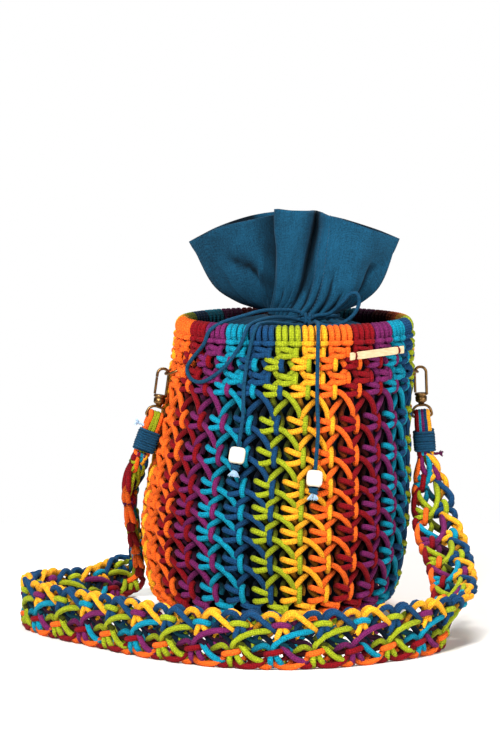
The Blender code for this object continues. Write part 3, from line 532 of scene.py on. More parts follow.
@dataclass(frozen=True)
class CordFinish(Finish):
    """Braided cotton cord: quite matt, with a fine crossing plait, fluff and small light flecks.

    Attributes:
        plait: Length of one plait along the cord.
        depth: Depth of the plait's relief.
        strands: Crossings of the plait round the cord.
        shade: Light of the surface before anything is added.
        weights: Light that plait, flecks and wear add.
    """

    plait: float = 0.0034
    depth: float = 0.00022
    strands: float = 4.0
    shade: float = -0.06
    weights: tuple[float, float, float] = (0.2, 1.5, 0.34)

    def make(self) -> Material:
        """Build the material.

        Returns:
            The material.
        """
        surface = Surface(self.name)
        tree, spot = surface.tree, surface.place()
        parts = add_node(tree, "ShaderNodeSeparateXYZ", {0: surface.noted("cord_place", "Vector")}).outputs
        turn = maths(tree, "MULTIPLY", maths(tree, "ARCTAN2", parts["Y"], parts["X"]), self.strands)
        along = maths(tree, "MULTIPLY", parts["Z"], tau / self.plait)
        one, two = (maths(tree, "SINE", maths(tree, way, turn, along)) for way in ("ADD", "SUBTRACT"))
        plait = maths(tree, "MULTIPLY", one, two)
        flecks, wear = speckle(tree, spot, 1050.0, 1.0), speckle(tree, spot, 45.0, 2.0)
        surface.paint(self.code, weigh(tree, self.shade, *zip((plait, flecks, wear), self.weights)))
        surface.emboss(weigh(tree, plait, (speckle(tree, spot, 900.0, 3.0), 1.1)), self.depth, 0.9)
        return surface.settle({"Roughness": 0.9, "Specular IOR Level": 0.1, "Sheen Weight": 0.02})


@dataclass(frozen=True)
class ClothFinish(Finish):
    """Plain-woven cotton: matt, streaked along both threads, clouded and finely speckled, with painted shade below the
    neck and on its left side.

    Attributes:
        thread: Width of a thread.
        shade: Light of the surface before anything is added.
        weights: Light that weave, specks and clouds add.
        painted_shade_ramps: Painted shade along an axis: the axis, place of the deepest shade, place where it ends, and
            the light left in it.
    """

    thread: float = 0.0009
    shade: float = -1.28
    weights: tuple[float, float, float] = (0.95, 1.62, 0.95)
    painted_shade_ramps: tuple = (("Z", 0.222, 0.256, 0.16), ("X", -0.04, 0.04, 0.66))

    def make(self) -> Material:
        """Build the material.

        Returns:
            The material.
        """
        surface = Surface(self.name)
        tree, place = surface.tree, surface.noted("cloth_place", "Vector")
        warp, weft = (
            speckle(tree, stretch(tree, place, scale), 0.9 / self.thread, 2.0)
            for scale in ((1.0, 0.07, 1.0), (0.07, 1.0, 1.0))
        )
        weave = maths(tree, "ADD", warp, weft)
        specks, clouds = speckle(tree, place, 720.0, 1.5), speckle(tree, place, 34.0, 3.0)
        light = weigh(tree, self.shade, *zip((weave, specks, clouds), self.weights))
        where = add_node(tree, "ShaderNodeSeparateXYZ", {0: surface.place()}).outputs
        # Painted shade: the cloth darkens below the neck, down inside the net, and towards its left side
        for axis, deep, end, left in self.painted_shade_ramps:
            links = {"Value": where[axis], "From Min": deep, "From Max": end, "To Min": left, "To Max": 1.0}
            light = maths(tree, "MULTIPLY", light, add_node(tree, "ShaderNodeMapRange", links).outputs[0])
        surface.paint(self.code, light)
        surface.emboss(weave, 0.00025, 0.8)
        return surface.settle({"Roughness": 0.88, "Specular IOR Level": 0.1, "Sheen Weight": 0.03})


@dataclass(frozen=True)
class WoodFinish(Finish):
    """Bare pale wood with a fine grain along one axis.

    Attributes:
        dark_code: sRGB hex code of the grain.
    """

    dark_code: str

    def make(self) -> Material:
        """Build the material.

        Returns:
            The material.
        """
        surface = Surface(self.name)
        grain = speckle(surface.tree, stretch(surface.tree, surface.place(), (0.25, 0.25, 1.0)), 700.0, 4.0)
        surface.blend(grain, self.code, self.dark_code)
        surface.emboss(grain, 0.0001, 0.4)
        return surface.settle({"Roughness": 0.5})


@dataclass(frozen=True)
class BrassFinish(Finish):
    """Dark antique brass, brighter where it has been handled.

    Attributes:
        dark_code: sRGB hex code of the dark plating.
    """

    dark_code: str

    def make(self) -> Material:
        """Build the material.

        Returns:
            The material.
        """
        surface = Surface(self.name)
        wear = speckle(surface.tree, surface.place(), 260.0, 3.0)
        surface.blend(wear, self.dark_code, self.code)
        surface.tree.links.new(weigh(surface.tree, 0.22, (wear, 0.25)), surface.shader.inputs["Roughness"])
        return surface.settle({"Metallic": 1.0})


@dataclass(frozen=True)
class PlainFinish(Finish):
    """One plain matt colour.

    Attributes:
        roughness: Roughness of the surface.
    """

    roughness: float = 0.8

    def make(self) -> Material:
        """Build the material."""
        return Surface(self.name).settle({"Base Color": linear(self.code), "Roughness": self.roughness})


class Finishes:
    """Every finish of the bag, built once."""

    def __init__(self) -> None:
        # Net and strap: thick braided cotton in seven strong colours, matt and finely plaited, with painted shade deep
        # between the cords
        self.net = {colour: CordFinish(f"cord_{colour.name.lower()}", colour.value).make() for colour in CordColour}
        # Drawcord: thin round blue cord with a tighter plait, the pouch's colour and a little lighter
        self.drawcord = CordFinish("drawcord_blue", "12415D", plait=0.0022, depth=0.00016).make()
        # Whippings: waxed blue thread, so fine that its turns read as smooth rings
        self.thread = CordFinish("whipping_thread", "15405C", plait=0.0014, depth=0.00008).make()
        # Pouch: dark petrol-blue cotton whose weave, specks and clouds keep large folds from looking flat, with painted
        # shade in its folds, below the neck and on its left side
        self.cloth = ClothFinish("blue_cotton", "10425C").make()
        # Side seam: plain blue thread, just lighter than the cloth that it sinks into
        self.stitch = PlainFinish("stitching", "123A52").make()
        # Tag: sanded bare wood, warm and pale with a soft grain
        self.wood = WoodFinish("pale_wood", "EBD6AF", "B08D5C").make()
        # Beads: whitish wood, the brightest spots on the bag
        self.bead_wood = WoodFinish("white_wood", "F8F1E4", "DCCBAE").make()
        # Rings, hooks and D loops: dark plated brass that glints where it is worn
        self.brass = BrassFinish("antique_brass", "9A7446", "3E2C1C").make()
        # Frayed ends: loose undyed cotton fibres, pale blue and flat
        self.fray = PlainFinish("frayed_ends", "A9C6DE").make()


# ---- Geometry Nodes


def new_group(name: str, inputs: dict[str, str], output: str) -> tuple:
    """Start a Geometry Nodes group.

    Args:
        name: Name of the group.
        inputs: Input name to kind of socket.
        output: Name of its geometry output.

    Returns:
        The group, the sockets that its inputs come in by, and the socket that its geometry leaves by.
    """
    group = bpy.data.node_groups.new(name, "GeometryNodeTree")
    for label, kind in inputs.items():
        group.interface.new_socket(name=label, in_out="INPUT", socket_type="NodeSocket" + kind)
    group.interface.new_socket(name=output, in_out="OUTPUT", socket_type="NodeSocketGeometry")
    leave = add_node(group, "NodeGroupOutput").inputs[output]
    return group, add_node(group, "NodeGroupInput").outputs, leave


def realise(group: NodeTree, geometry: NodeSocket, finish: NodeSocket, leave: NodeSocket) -> None:
    """End a group with Realize Instances and Set Material.

    Args:
        group: The group.
        geometry: What it has made.
        finish: Socket of the material.
        leave: Socket that the geometry leaves by.
    """
    real = add_node(group, "GeometryNodeRealizeInstances", {"Geometry": geometry}).outputs[0]
    done = add_node(group, "GeometryNodeSetMaterial", {"Geometry": real, "Material": finish})
    group.links.new(done.outputs[0], leave)


def line_source(name: str, lines: list, taper: float = 1.0, closed: bool = False) -> Object:
    """Make an object of lines for a group to work on.

    Args:
        name: Name of the piece.
        lines: Centre lines, each a list of points.
        taper: Share of the radius at the ends of each line.
        closed: Whether every line closes on itself.

    Returns:
        The object.
    """
    curve = bpy.data.curves.new(name, "CURVE")
    curve.dimensions = "3D"
    for line in lines:
        spline = curve.splines.new("POLY")
        spline.points.add(len(line) - 1)
        for point, spot in zip(spline.points, line):
            point.co = (*spot[:3], 1.0)
        spline.points[0].radius = spline.points[-1].radius = taper
        spline.use_cyclic_u = closed
    return bpy.data.objects.new(name + "_lines", curve)


def apply_group(source: Object, group: NodeTree, name: str, values: dict) -> Object:
    """Run a Geometry Nodes group on an object once and keep the plain mesh.

    Args:
        source: Object that carries the group for the moment; it is removed.
        group: The group.
        name: Name of the mesh object.
        values: Input name to value.

    Returns:
        The mesh object, at the origin and without modifiers.
    """
    bpy.context.scene.collection.objects.link(source)
    modifier = source.modifiers.new("nodes", "NODES")
    modifier.node_group = group
    for item in group.interface.items_tree:
        if item.item_type == "SOCKET" and item.in_out == "INPUT" and item.name in values:
            modifier[item.identifier] = values[item.name]
    source.update_tag()
    graph = bpy.context.evaluated_depsgraph_get()
    mesh = bpy.data.meshes.new_from_object(source.evaluated_get(graph))
    mesh.name = name
    bpy.data.objects.remove(source, do_unlink=True)
    LOG.info("%s: %d faces", name, len(mesh.polygons))
    return link_mesh(mesh, values["Finish"])


class Sweeper:
    """Sweeps a round section along every line of a piece with one Geometry Nodes group."""

    def __init__(self) -> None:
        inputs = {"Lines": "Geometry", "Radius": "Float", "Sides": "Int", "Finish": "Material"}
        self.group, entry, leave = new_group("sweep_round_cord", inputs, "Cord")
        links = {"Resolution": entry["Sides"], "Radius": 1.0}
        ring = self._add("GeometryNodeCurvePrimitiveCircle", links, mode="RADIUS")
        size = self._add("ShaderNodeCombineXYZ", dict.fromkeys((0, 1, 2), entry["Radius"]))
        sized = self._add("GeometryNodeTransform", {"Geometry": ring, "Scale": size})
        length = add_node(self.group, "GeometryNodeSplineParameter").outputs["Length"]
        line = self._store(entry["Lines"], "along", "FLOAT", length)
        section = self._store(sized, "around", "FLOAT_VECTOR", self._add("GeometryNodeInputPosition", {}))
        links = {"Curve": line, "Profile Curve": section, "Fill Caps": True}
        swept = self._add("GeometryNodeCurveToMesh", links)
        along = self._add("GeometryNodeInputNamedAttribute", {"Name": "along"}, data_type="FLOAT")
        around = self._add("GeometryNodeInputNamedAttribute", {"Name": "around"}, data_type="FLOAT_VECTOR")
        parts = add_node(self.group, "ShaderNodeSeparateXYZ", {0: around}).outputs
        place = self._add("ShaderNodeCombineXYZ", {0: parts[0], 1: parts[1], 2: along})
        kept = self._store(swept, "cord_place", "FLOAT_VECTOR", place)
        realise(self.group, self._add("GeometryNodeSetShadeSmooth", {"Geometry": kept}), entry["Finish"], leave)

    def _add(self, kind: str, links: dict, **settings: str) -> NodeSocket:
        """Add a node and take its first output."""
        return add_node(self.group, kind, links, **settings).outputs[0]

    def _store(self, geometry: NodeSocket, name: str, kind: str, value: NodeSocket) -> NodeSocket:
        """Note a value on every point."""
        links = {"Geometry": geometry, "Name": name, "Value": value}
        return self._add("GeometryNodeStoreNamedAttribute", links, data_type=kind, domain="POINT")

    def sweep(
        self, name: str, lines: list, radius: float, finish: Material, sides: int = 10,
        closed: bool = False, taper: float = 1.0, painted_shade: list | None = None,
    ) -> Object:
        """Make one mesh of round cords.

        Args:
            name: Name of the piece.
            lines: Centre lines, each a list of points.
            radius: Radius of the cord.
            finish: Its material.
            sides: Sides of the section.
            closed: Whether every line closes on itself.
            taper: Share of the radius at the ends of each line.
            painted_shade: Painted shade: share of the light that each point loses deep in the knots, line by line.

        Returns:
            The mesh object.
        """
        values = {"Radius": radius, "Sides": sides, "Finish": finish}
        made = apply_group(line_source(name, lines, taper, closed), self.group, name, values)
        if painted_shade:
            # Note each point's painted shade on every point of its section
            note = made.data.attributes.new("painted_shade", "FLOAT", "POINT")
            note.data.foreach_set("value", np.repeat(np.concatenate(painted_shade), sides))
        return made


class StitchRow:
    """Sets short stitches along lines with one Geometry Nodes group."""

    def __init__(self) -> None:
        inputs = {"Lines": "Geometry", "Pitch": "Float", "Size": "Vector", "Finish": "Material"}
        group, entry, leave = new_group("stitch_row", inputs, "Stitches")
        links = {"Curve": entry["Lines"], "Length": entry["Pitch"]}
        spaced = add_node(group, "GeometryNodeResampleCurve", links, mode="LENGTH").outputs[0]
        way = add_node(group, "GeometryNodeInputTangent").outputs[0]
        turn = add_node(group, "FunctionNodeAlignRotationToVector", {"Vector": way}, axis="Z").outputs[0]
        stitch = add_node(group, "GeometryNodeMeshIcoSphere", {"Radius": 1.0, "Subdivisions": 2}).outputs["Mesh"]
        links = {"Points": spaced, "Instance": stitch, "Rotation": turn, "Scale": entry["Size"]}
        placed = add_node(group, "GeometryNodeInstanceOnPoints", links).outputs[0]
        realise(group, placed, entry["Finish"], leave)
        self.group = group

    def sew(
        self, name: str, lines: list, finish: Material, pitch: float = 0.003,
        size: tuple[float, float, float] = (0.0003, 0.0003, 0.001),
    ) -> Object:
        """Sew along lines."""
        values = {"Pitch": pitch, "Size": size, "Finish": finish}
        return apply_group(line_source(name, lines), self.group, name, values)


@dataclass
class SweptAssembly:
    """A part of the bag made mostly of cords or wires.

    Attributes:
        sweeper: Group that makes them from lines.
        finishes: Every finish.
    """

    sweeper: Sweeper
    finishes: Finishes


# ---- knotted net


def by_colour() -> dict:
    """Start an empty list of lines for each colour."""
    return {colour: [] for colour in CordColour}


@dataclass
class KnottedNet(SweptAssembly):
    """The bag's body: columns of square knots joined by crossing strands.

    Attributes:
        radius: Radius of the cord.
        knot_rise: Row spacing that the knots' measured heights belong to.
        lit_out: Distance out from the wall's middle at which a cord gets no painted shade.
        dim_over: Distance further in over which the painted shade deepens to its greatest.
        rim_band: Height above which the painted shade is lighter, as the open rim lets light in.
        losses: Greatest loss of light to painted shade: in the net, at the rim's back and at its front.
        spiral: Rise of the base's spiral for each radian, its steps and their angle.
        lines: Centre lines of the long strands, by colour.
        turns: Centre lines of the knots' turns, by colour.
    """

    radius: float = 0.0024
    knot_rise: float = 0.0255
    lit_out: float = 0.0045
    dim_over: float = 0.0066
    rim_band: float = 0.229
    losses: tuple[float, float, float] = (0.95, 0.88, 0.5)
    spiral: tuple[float, int, float] = (0.0008, 205, 0.22)
    lines: dict = field(default_factory=by_colour)
    turns: dict = field(default_factory=by_colour)

    def strand(self, across: float, top: float, drop: float, table: tuple, colour: CordColour, rng: Random) -> None:
        """Add one strand of a mesh.

        Args:
            across: Column that the table's places are counted from.
            top: Height of the upper row of knots.
            drop: Distance down to the next row.
            table: Places of the strand.
            colour: Its colour.
            rng: Random source for the small irregularities of hand work.
        """
        sway, lift = rng.uniform(-0.025, 0.025), rng.uniform(-0.03, 0.03)
        points = []
        for index, (place, share, out) in enumerate(table):
            free = 1.0 if 0 < index < len(table) - 1 else 0.3
            height = top - drop * (share + lift * free)
            points.append(net_point(across + place + sway * free, height, out + rng.uniform(-3e-4, 3e-4)))
        self.lines[colour].append(smooth_line(points, 14))

    def knot(
        self, across: float, height: float, scale: float, left: CordColour, right: CordColour, rng: Random
    ) -> None:
        """Add a square knot: two turns from the column on the right and a side turn from the one on the left.

        Args:
            across: Place of the knot in columns.
            height: Height of the knot's middle.
            scale: Height of the knot against the measured one.
            left: Colour of the column on the left.
            right: Colour of the column on the right.
            rng: Random source.
        """
        for table, colour in ((UPPER_TURN, right), (LOWER_TURN, right), (SIDE_TURN, left)):
            slip, lean = rng.uniform(-0.0005, 0.0005), rng.uniform(-0.8, 0.8)
            self.turns[colour].append(smooth_line([
                net_point(across + place, height + (up * scale + place * lean) * 0.001 + slip, out * 0.001)
                for place, up, out in table
            ], 10))

    def plain(self, kept: dict, column: float, colour: CordColour, table: tuple, steps: int) -> None:
        """Add a line straight from a table."""
        kept[colour].append(smooth_line([net_point(column + across, *rest) for across, *rest in table], steps))

    def rim(self, column: int, colour: CordColour) -> None:
        """Hang one column's lark's heads over the rim.

        Args:
            column: The column.
            colour: Its colour.
        """
        for place in RIM_LOOPS:
            self.plain(self.turns, column, colour, [(place, *spot) for spot in RIM_OUTLINE], 16)
        for place in RIM_BARS:
            for (height, course), steps in ((OUTER_BAR, 10), (INNER_BAR, 7)):
                self.plain(self.turns, column + place, colour, [(side, height, out) for side, out in course], steps)

    def foot(self, column: int, colour: CordColour) -> None:
        """Run one column's cords from the last knots in under the base.

        Args:
            column: The column.
            colour: Its colour.
        """
        for table in FOOT_STRANDS:
            self.plain(self.lines, column, colour, table, 7)
        for across, start, inward in BASE_CORDS:
            place = column + across
            edge = net_point(place, BASE_EDGE, BASE_EDGE_OUT)
            self.lines[colour].append(smooth_line([
                net_point(place, start, 0.0004), net_point(place, 0.5 * (start + 0.0032), 0.0), edge,
                *(Vector((edge.x * share, edge.y * share, BASE_HEIGHT)) for share in (0.8, inward)),
            ], 16))

    @staticmethod
    def pressed(point: Vector) -> Vector:
        """Press a point of the net back where the wooden tag lies on it.

        Args:
            point: The point.

        Returns:
            The point, no further out than the tag's back.
        """
        azimuth = degrees(atan2(point.x - BED_AXIS, -point.y))
        if abs(point.z - TAG_HEIGHT) > BED_HALF_HEIGHT or abs(azimuth - TAG_AZIMUTH) > BED_HALF_ANGLE:
            return point
        radius, lean = blend_rows(WALL_ROWS, point.z)
        share = min(1.0, (radius + BED_OUT) / hypot(point.x - lean, point.y))
        return Vector((lean + (point.x - lean) * share, point.y * share, point.z))

    def painted_shade(self, lines: list) -> list[np.ndarray]:
        """Find the painted shade of the net's points: how much light they lose deep between its cords.

        Args:
            lines: Centre lines.

        Returns:
            A share from 0 to 1 for every point, line by line.
        """
        heights = np.linspace(0.0, RIM_HEIGHT, 80)
        table = np.array([blend_rows(WALL_ROWS, height) for height in heights])
        inside, back, front = self.losses
        shares = []
        for line in lines:
            x, y, z = np.array([spot[:] for spot in line]).T
            radius, lean = (np.interp(z, heights, column) for column in table.T)
            # Painted shade: the further in from the wall's outside, the darker; the open rim's front is darkened less
            depth = np.clip((self.lit_out - np.hypot(x - lean, y) + radius) / self.dim_over, 0.0, 1.0)
            full = np.where(z > self.rim_band, np.where(y > 0.0, back, front), inside)
            shares.append(full * depth * depth * (3.0 - 2.0 * depth))
        return shares

    def knot_column(self, column: int, rng: Random) -> None:
        """Knot one column from the rim to the base.

        Args:
            column: The column.
            rng: Random source.
        """
        colour, before = colour_of(column), colour_of(column - 1)
        drops = [upper - lower for upper, lower in zip(KNOT_HEIGHTS, KNOT_HEIGHTS[1:])]
        scales = [*UPPER_SCALES, *(limit(drop / self.knot_rise, 0.8) for drop in drops[len(UPPER_SCALES) - 1 :])]
        for height, scale in zip(KNOT_HEIGHTS, scales):
            self.knot(column, height, scale, before, colour, rng)
        for height, scale in MIDDLE_KNOTS:
            self.knot(column + 0.53, height, scale, colour, colour, rng)
        self.knot(column, 0.0085, 0.48, before, colour, rng)
        for table in TIGHT_STRANDS:
            self.plain(self.lines, column, colour, table, 7)
        for height, drop in zip(KNOT_HEIGHTS[1:-1], drops[1:]):
            for table in (LEFT_STRAND, RIGHT_STRAND, BACK_ARC, FRONT_ARC):
                self.strand(column, height, drop, table, colour, rng)
        self.rim(column, colour)
        self.foot(column, colour)

    def build(self) -> None:
        """Build the net: a mesh of strands and one of knots for each colour, and the base's spiral."""
        rng = Random(4)
        for column in range(COLUMNS):
            self.knot_column(column, rng)
        pieces = []
        for colour in CordColour:
            name = f"net_{colour.name.lower()}"
            for label, kept, sides, taper in ((name, self.lines, 9, 0.8), (name + "_knots", self.turns, 10, 0.7)):
                lines = [[self.pressed(point) for point in line] for line in kept[colour]]
                # Painted shade darkens each cord deep between the others
                pieces.append(self.sweeper.sweep(
                    label, lines, self.radius, self.finishes.net[colour], sides, taper=taper, painted_shade=self.painted_shade(lines)
                ))
        rise, steps, angle = self.spiral
        turns = [1.0 + step * angle for step in range(steps)]
        spiral = [Vector((cos(turn) * turn * rise, sin(turn) * turn * rise, BASE_EDGE)) for turn in turns]
        finish = self.finishes.net[CordColour.DENIM]
        pieces.append(self.sweeper.sweep("base_spiral", [spiral], self.radius, finish, sides=8))
        for piece in pieces:
            attach(piece, "knotted_cord", "knotted_body")


# ---- drawstring pouch


# Centre of the pouch's neck
NECK = (0.0286, -0.005, 0.252)
# Height, radius, share of the way from the body's axis to the neck's, wide gathers, fine gathers, swell to the left
POUCH_ROWS = (
    (0.0061, 0.064, 0.0, 0.0, 0.0, 0.0), (0.016, 0.081, 0.0, 0.0, 0.0, 0.0), (0.036, 0.0945, 0.0, 0.0, 0.0, 0.0),
    (0.08, 0.1004, 0.0, 0.0002, 0.0, 0.0), (0.13, 0.0972, 0.0, 0.0006, 0.0, 0.0),
    (0.19, 0.09, 0.0, 0.0012, 0.0002, 0.0), (0.218, 0.081, 0.0, 0.0022, 0.001, 0.0),
    (0.236, 0.062, 0.5, 0.003, 0.0018, 0.1), (0.243, 0.043, 0.9, 0.0028, 0.0018, 0.45),
    (0.248, 0.0265, 1.0, 0.0016, 0.0014, 0.9), (0.252, 0.0211, 1.0, 0.0012, 0.0012, 0.45),
)
# Climb of the flare above the neck: share outwards, share upwards, depth of the fine gathers
FLARE_ROWS = (
    (0.0, 0.0, 0.0012), (0.07, 0.04, 0.0014), (0.26, 0.1, 0.0015), (0.43, 0.18, 0.0012), (0.65, 0.36, 0.0006),
    (0.85, 0.7, 0.0002), (1.0, 1.0, 0.0),
)
# Top edge of the flare from its right tip round the front: x, y, z, azimuth of the same thread at the neck
FLARE_EDGE = (
    (0.105, -0.004, 0.316, 95.0), (0.085, -0.023, 0.3235, 62.0), (0.062, -0.032, 0.332, 28.0),
    (0.046, -0.027, 0.3365, -4.0), (0.037, -0.009, 0.3395, -34.0), (0.029, -0.029, 0.3405, -50.0),
    (0.015, -0.037, 0.3412, -62.0), (0.003, -0.035, 0.3424, -74.0), (0.0022, -0.027, 0.3412, -80.0),
    (0.0065, -0.0205, 0.338, -86.0), (-0.014, -0.0205, 0.3335, -94.0), (-0.044, -0.018, 0.3262, -102.0),
    (-0.0697, -0.004, 0.3135, -112.0), (-0.048, 0.015, 0.324, -132.0), (-0.022, 0.025, 0.3325, -152.0),
    (0.0, 0.013, 0.3372, -172.0), (0.022, 0.029, 0.3372, -195.0), (0.045, 0.015, 0.3345, -217.0),
    (0.065, 0.028, 0.329, -240.0), (0.088, 0.018, 0.3222, -254.0),
)
# Creases pressed in the flare's front: x, z, slope, depth; then the half width and half height that they share
FLARE_CREASES = ((0.084, 0.2925, 0.25, 0.004), (-0.02, 0.29, -0.7, 0.006))
CREASE_WIDTH, CREASE_HEIGHT = 0.016, 0.006


@dataclass
class DrawstringPouch:
    """The cotton pouch inside the net, gathered by the drawcord and flared above it.

    Attributes:
        finishes: Every finish.
        sides: Points around.
        wall_rows: Rows of points below the neck.
        crowding: Power that crowds the wall's rows towards the neck.
        flare_rows: Rows of points above the neck.
        thickness: Thickness of the cloth.
        hem: Height of the turned hem.
        hem_share: Half thickness of the hem against the cloth's thickness.
        neck_radius: Radius of the cloth at the neck.
        left_bulge: Share by which the neck swells to the left.
        swing: Height from which the threads turn to their place at the neck, and the height that it takes.
        flare_fold: Depth of the folds that fan out above the neck.
        gathers: Number of wide and of fine gathers round the neck, and of folds round the flare.
        pleat_lift: Rise of the fine gathers on the shoulder against their depth.
        fold_sizes: Reach to both sides, in points, and depth of a fold that gets the full painted shade.
        fold_loss: Share of the light taken off by painted shade in such a fold.
        seam_x: Place of the side seam on the flare's edge.
        seam_rows: First row of the seam's stitches, and points between its two lines.
        flat_width: Width of the cloth laid flat, at its widest; not used.
        weave_width: Width that the weave's pattern is laid out over.
    """

    finishes: Finishes
    sides: int = 288
    wall_rows: int = 40
    crowding: float = 1.35
    flare_rows: int = 34
    thickness: float = 0.0012
    hem: float = 0.01
    hem_share: float = 0.85
    neck_radius: float = 0.0211
    left_bulge: float = 0.45
    swing: tuple[float, float] = (0.205, 0.043)
    flare_fold: float = 0.003
    gathers: tuple[int, int, int] = (11, 36, 9)
    pleat_lift: float = 2.4
    fold_sizes: tuple = ((3, 0.0013), (9, 0.0046), (18, 0.009))
    fold_loss: float = 0.86
    seam_x: float = 0.048
    seam_rows: tuple[int, int] = (30, 7)
    flat_width: float = 0.631
    weave_width: float = 0.62

    def _edge(self) -> list[tuple[Vector, float]]:
        """Read the flare's top edge evenly along its length.

        Returns:
            A place and its azimuth at the neck, for each side.
        """
        rows = [Vector(row) for row in FLARE_EDGE]
        rows.append(rows[0] - Vector((0.0, 0.0, 0.0, 360.0)))
        dense = smooth_line(rows, 1201)
        reach = reaches(dense)
        found, index = [], 0
        for side in range(self.sides):
            while reach[index + 1] < reach[-1] * side / self.sides:
                index += 1
            found.append((dense[index].xyz.copy(), dense[index].w))
        return found

    @staticmethod
    def _ripple(place: Vector, size: float, seed: float) -> float:
        """Soft unevenness of handled cloth."""
        return noise.noise(place * size + Vector((seed, seed * 0.7, -seed)))

    def _wall_row(self, height: float, edge: list) -> list[Vector]:
        """Lay out one row below the neck.

        Args:
            height: Its height.
            edge: The flare's edge, whose threads the row carries on.

        Returns:
            Its points.
        """
        radius, share, wide, fine, bulge = blend_rows(POUCH_ROWS, height)
        lean = blend_rows(WALL_ROWS, height)[1]
        centre = Vector((lean + share * (NECK[0] - lean), share * NECK[1], height))
        mix = limit((height - self.swing[0]) / self.swing[1])
        mix = mix * mix * (3.0 - 2.0 * mix)
        row = []
        for side, (_, azimuth) in enumerate(edge):
            turn = tau * side / self.sides
            angle = (radians(FLARE_EDGE[0][3]) - turn) * (1.0 - mix) + radians(azimuth) * mix
            way = compass(angle)[0]
            gather = wide * cos(self.gathers[0] * turn + 1.5 * sin(3 * turn))
            pleat = fine * cos(self.gathers[1] * turn)
            spot = centre + way * radius * (1.0 + bulge * max(0.0, -way.x))
            spot.z += pleat * mix * (1.0 - mix) * self.pleat_lift
            row.append(spot + way * (gather + pleat + 0.0012 * self._ripple(spot, 26.0, 3.0)))
        return row

    def _flare_row(self, out: float, up: float, fine: float, edge: list) -> list[Vector]:
        """Lay out one row of the flare.

        Args:
            out: Share of the way out from the neck to the edge.
            up: Share of the way up.
            fine: Depth of the fine gathers.
            edge: The flare's edge.

        Returns:
            Its points.
        """
        row = []
        swell = self.flare_fold * sin(pi * min(1.25 * up, 1.0))
        for side, (top, azimuth) in enumerate(edge):
            turn = tau * side / self.sides
            way = compass(radians(azimuth))[0]
            start = Vector(NECK) + way * self.neck_radius * (1.0 + self.left_bulge * max(0.0, -way.x))
            spot = Vector([low + share * (high - low) for low, high, share in zip(start, top, (out, out, up))])
            fold = fine * cos(self.gathers[1] * turn)
            fold += swell * cos(self.gathers[2] * turn + 2.2 * sin(2 * turn))
            fold += 0.0022 * out * (1.0 - 0.6 * out) * self._ripple(spot, 34.0, 11.0)
            pressed = 0.0
            if spot.y < 0.004:
                for x, z, slope, depth in FLARE_CREASES:
                    across = spot.x - x
                    up_off = (spot.z - z - slope * across) / CREASE_HEIGHT
                    pressed += depth * exp(-((across / CREASE_WIDTH) ** 2) - up_off**2)
            row.append(spot + way * fold + Vector((0.0, pressed, 0.0)))
        return row

    def surface(self) -> list[list[Vector]]:
        """Lay out the middle of the cloth.

        Returns:
            Rows of points from the bottom up to the flare's edge.
        """
        edge = self._edge()
        low, high = POUCH_ROWS[0][0], POUCH_ROWS[-1][0]
        shares = [1.0 - (1.0 - step / self.wall_rows) ** self.crowding for step in range(self.wall_rows)]
        rows = [self._wall_row(low + (high - low) * share, edge) for share in shares]
        spans = smooth_line([Vector(row) for row in FLARE_ROWS], self.flare_rows)
        return rows + [self._flare_row(*span, edge) for span in spans]

    def folds(self, row: list, ways: list) -> list[float]:
        """Find how deep each point of a row lies in a fold or a gather, for its painted shade.

        Args:
            row: Points of the row.
            ways: Their outward ways.

        Returns:
            A value for each point, from -1 on a crest to 1 in a hollow.
        """
        found = []
        for side, (spot, way) in enumerate(zip(row, ways)):
            values = [
                ((row[side - reach] + row[(side + reach) % self.sides]) * 0.5 - spot).dot(way) / size
                for reach, size in self.fold_sizes
            ]
            found.append(limit(max(values, key=abs), -1.0))
        return found

    def build(self) -> None:
        rows = self.surface()
        count, last = self.sides, len(rows) - 1
        normals = []
        for index, row in enumerate(rows):
            below, above = rows[max(index - 1, 0)], rows[min(index + 1, last)]
            normals.append([
                (row[(side + 1) % count] - row[side - 1]).cross(above[side] - below[side]).normalized() * -1.0
                for side in range(count)
            ])
        climbs = [[0.0] * count]
        for below, row in zip(rows, rows[1:]):
            climbs.append([climb + (high - low).length for climb, low, high in zip(climbs[-1], below, row)])
        depths = [self.folds(row, ways) for row, ways in zip(rows, normals)]
        points, places, faces, shares = [], [], [], []
        for sign in (1.0, -1.0):
            first = len(points)
            for index, row in enumerate(rows):
                # Painted shade: each face of the cloth is darkened in the hollows of its folds and gathers
                shares += [self.fold_loss * max(sign * depth, 0.0) for depth in depths[index]]
                for side, spot in enumerate(row):
                    climb = climbs[index][side]
                    half = self.thickness * (self.hem_share if climbs[last][side] - climb < self.hem else 0.5)
                    points.append(spot + normals[index][side] * half * sign)
                    places.append((self.weave_width * side / count, climb, 0.0))
            points.append(Vector((0.0, 0.0, rows[0][0].z - 0.5 * self.thickness * sign)))
            places.append((0.0, -0.06, 0.0))
            shares.append(0.0)
            sheet = band_faces(last + 1, count, first)
            sheet += [(first + (side + 1) % count, first + side, len(points) - 1) for side in range(count)]
            faces += sheet if sign > 0 else [face[::-1] for face in sheet]
        hem = band_faces(2, count)
        tops = (last * count, len(points) // 2 + last * count)
        faces += [tuple(tops[corner // count] + corner % count for corner in face) for face in hem]
        mesh = new_mesh("pouch_cloth", points, faces)
        note = mesh.attributes.new("cloth_place", "FLOAT_VECTOR", "POINT")
        note.data.foreach_set("vector", np.array(places, dtype=np.float32).ravel())
        # The painted shade of every point
        mesh.attributes.new("painted_shade", "FLOAT", "POINT").data.foreach_set("value", shares)
        shape = bmesh.new()
        shape.from_mesh(mesh)
        bmesh.ops.recalc_face_normals(shape, faces=shape.faces)
        shape.to_mesh(mesh)
        shape.free()
        cloth = link_mesh(mesh, self.finishes.cloth)
        attach(cloth, "blue_cotton", "drawstring_pouch")
        stitches = attach(self.stitches(rows, normals), "blue_cotton")

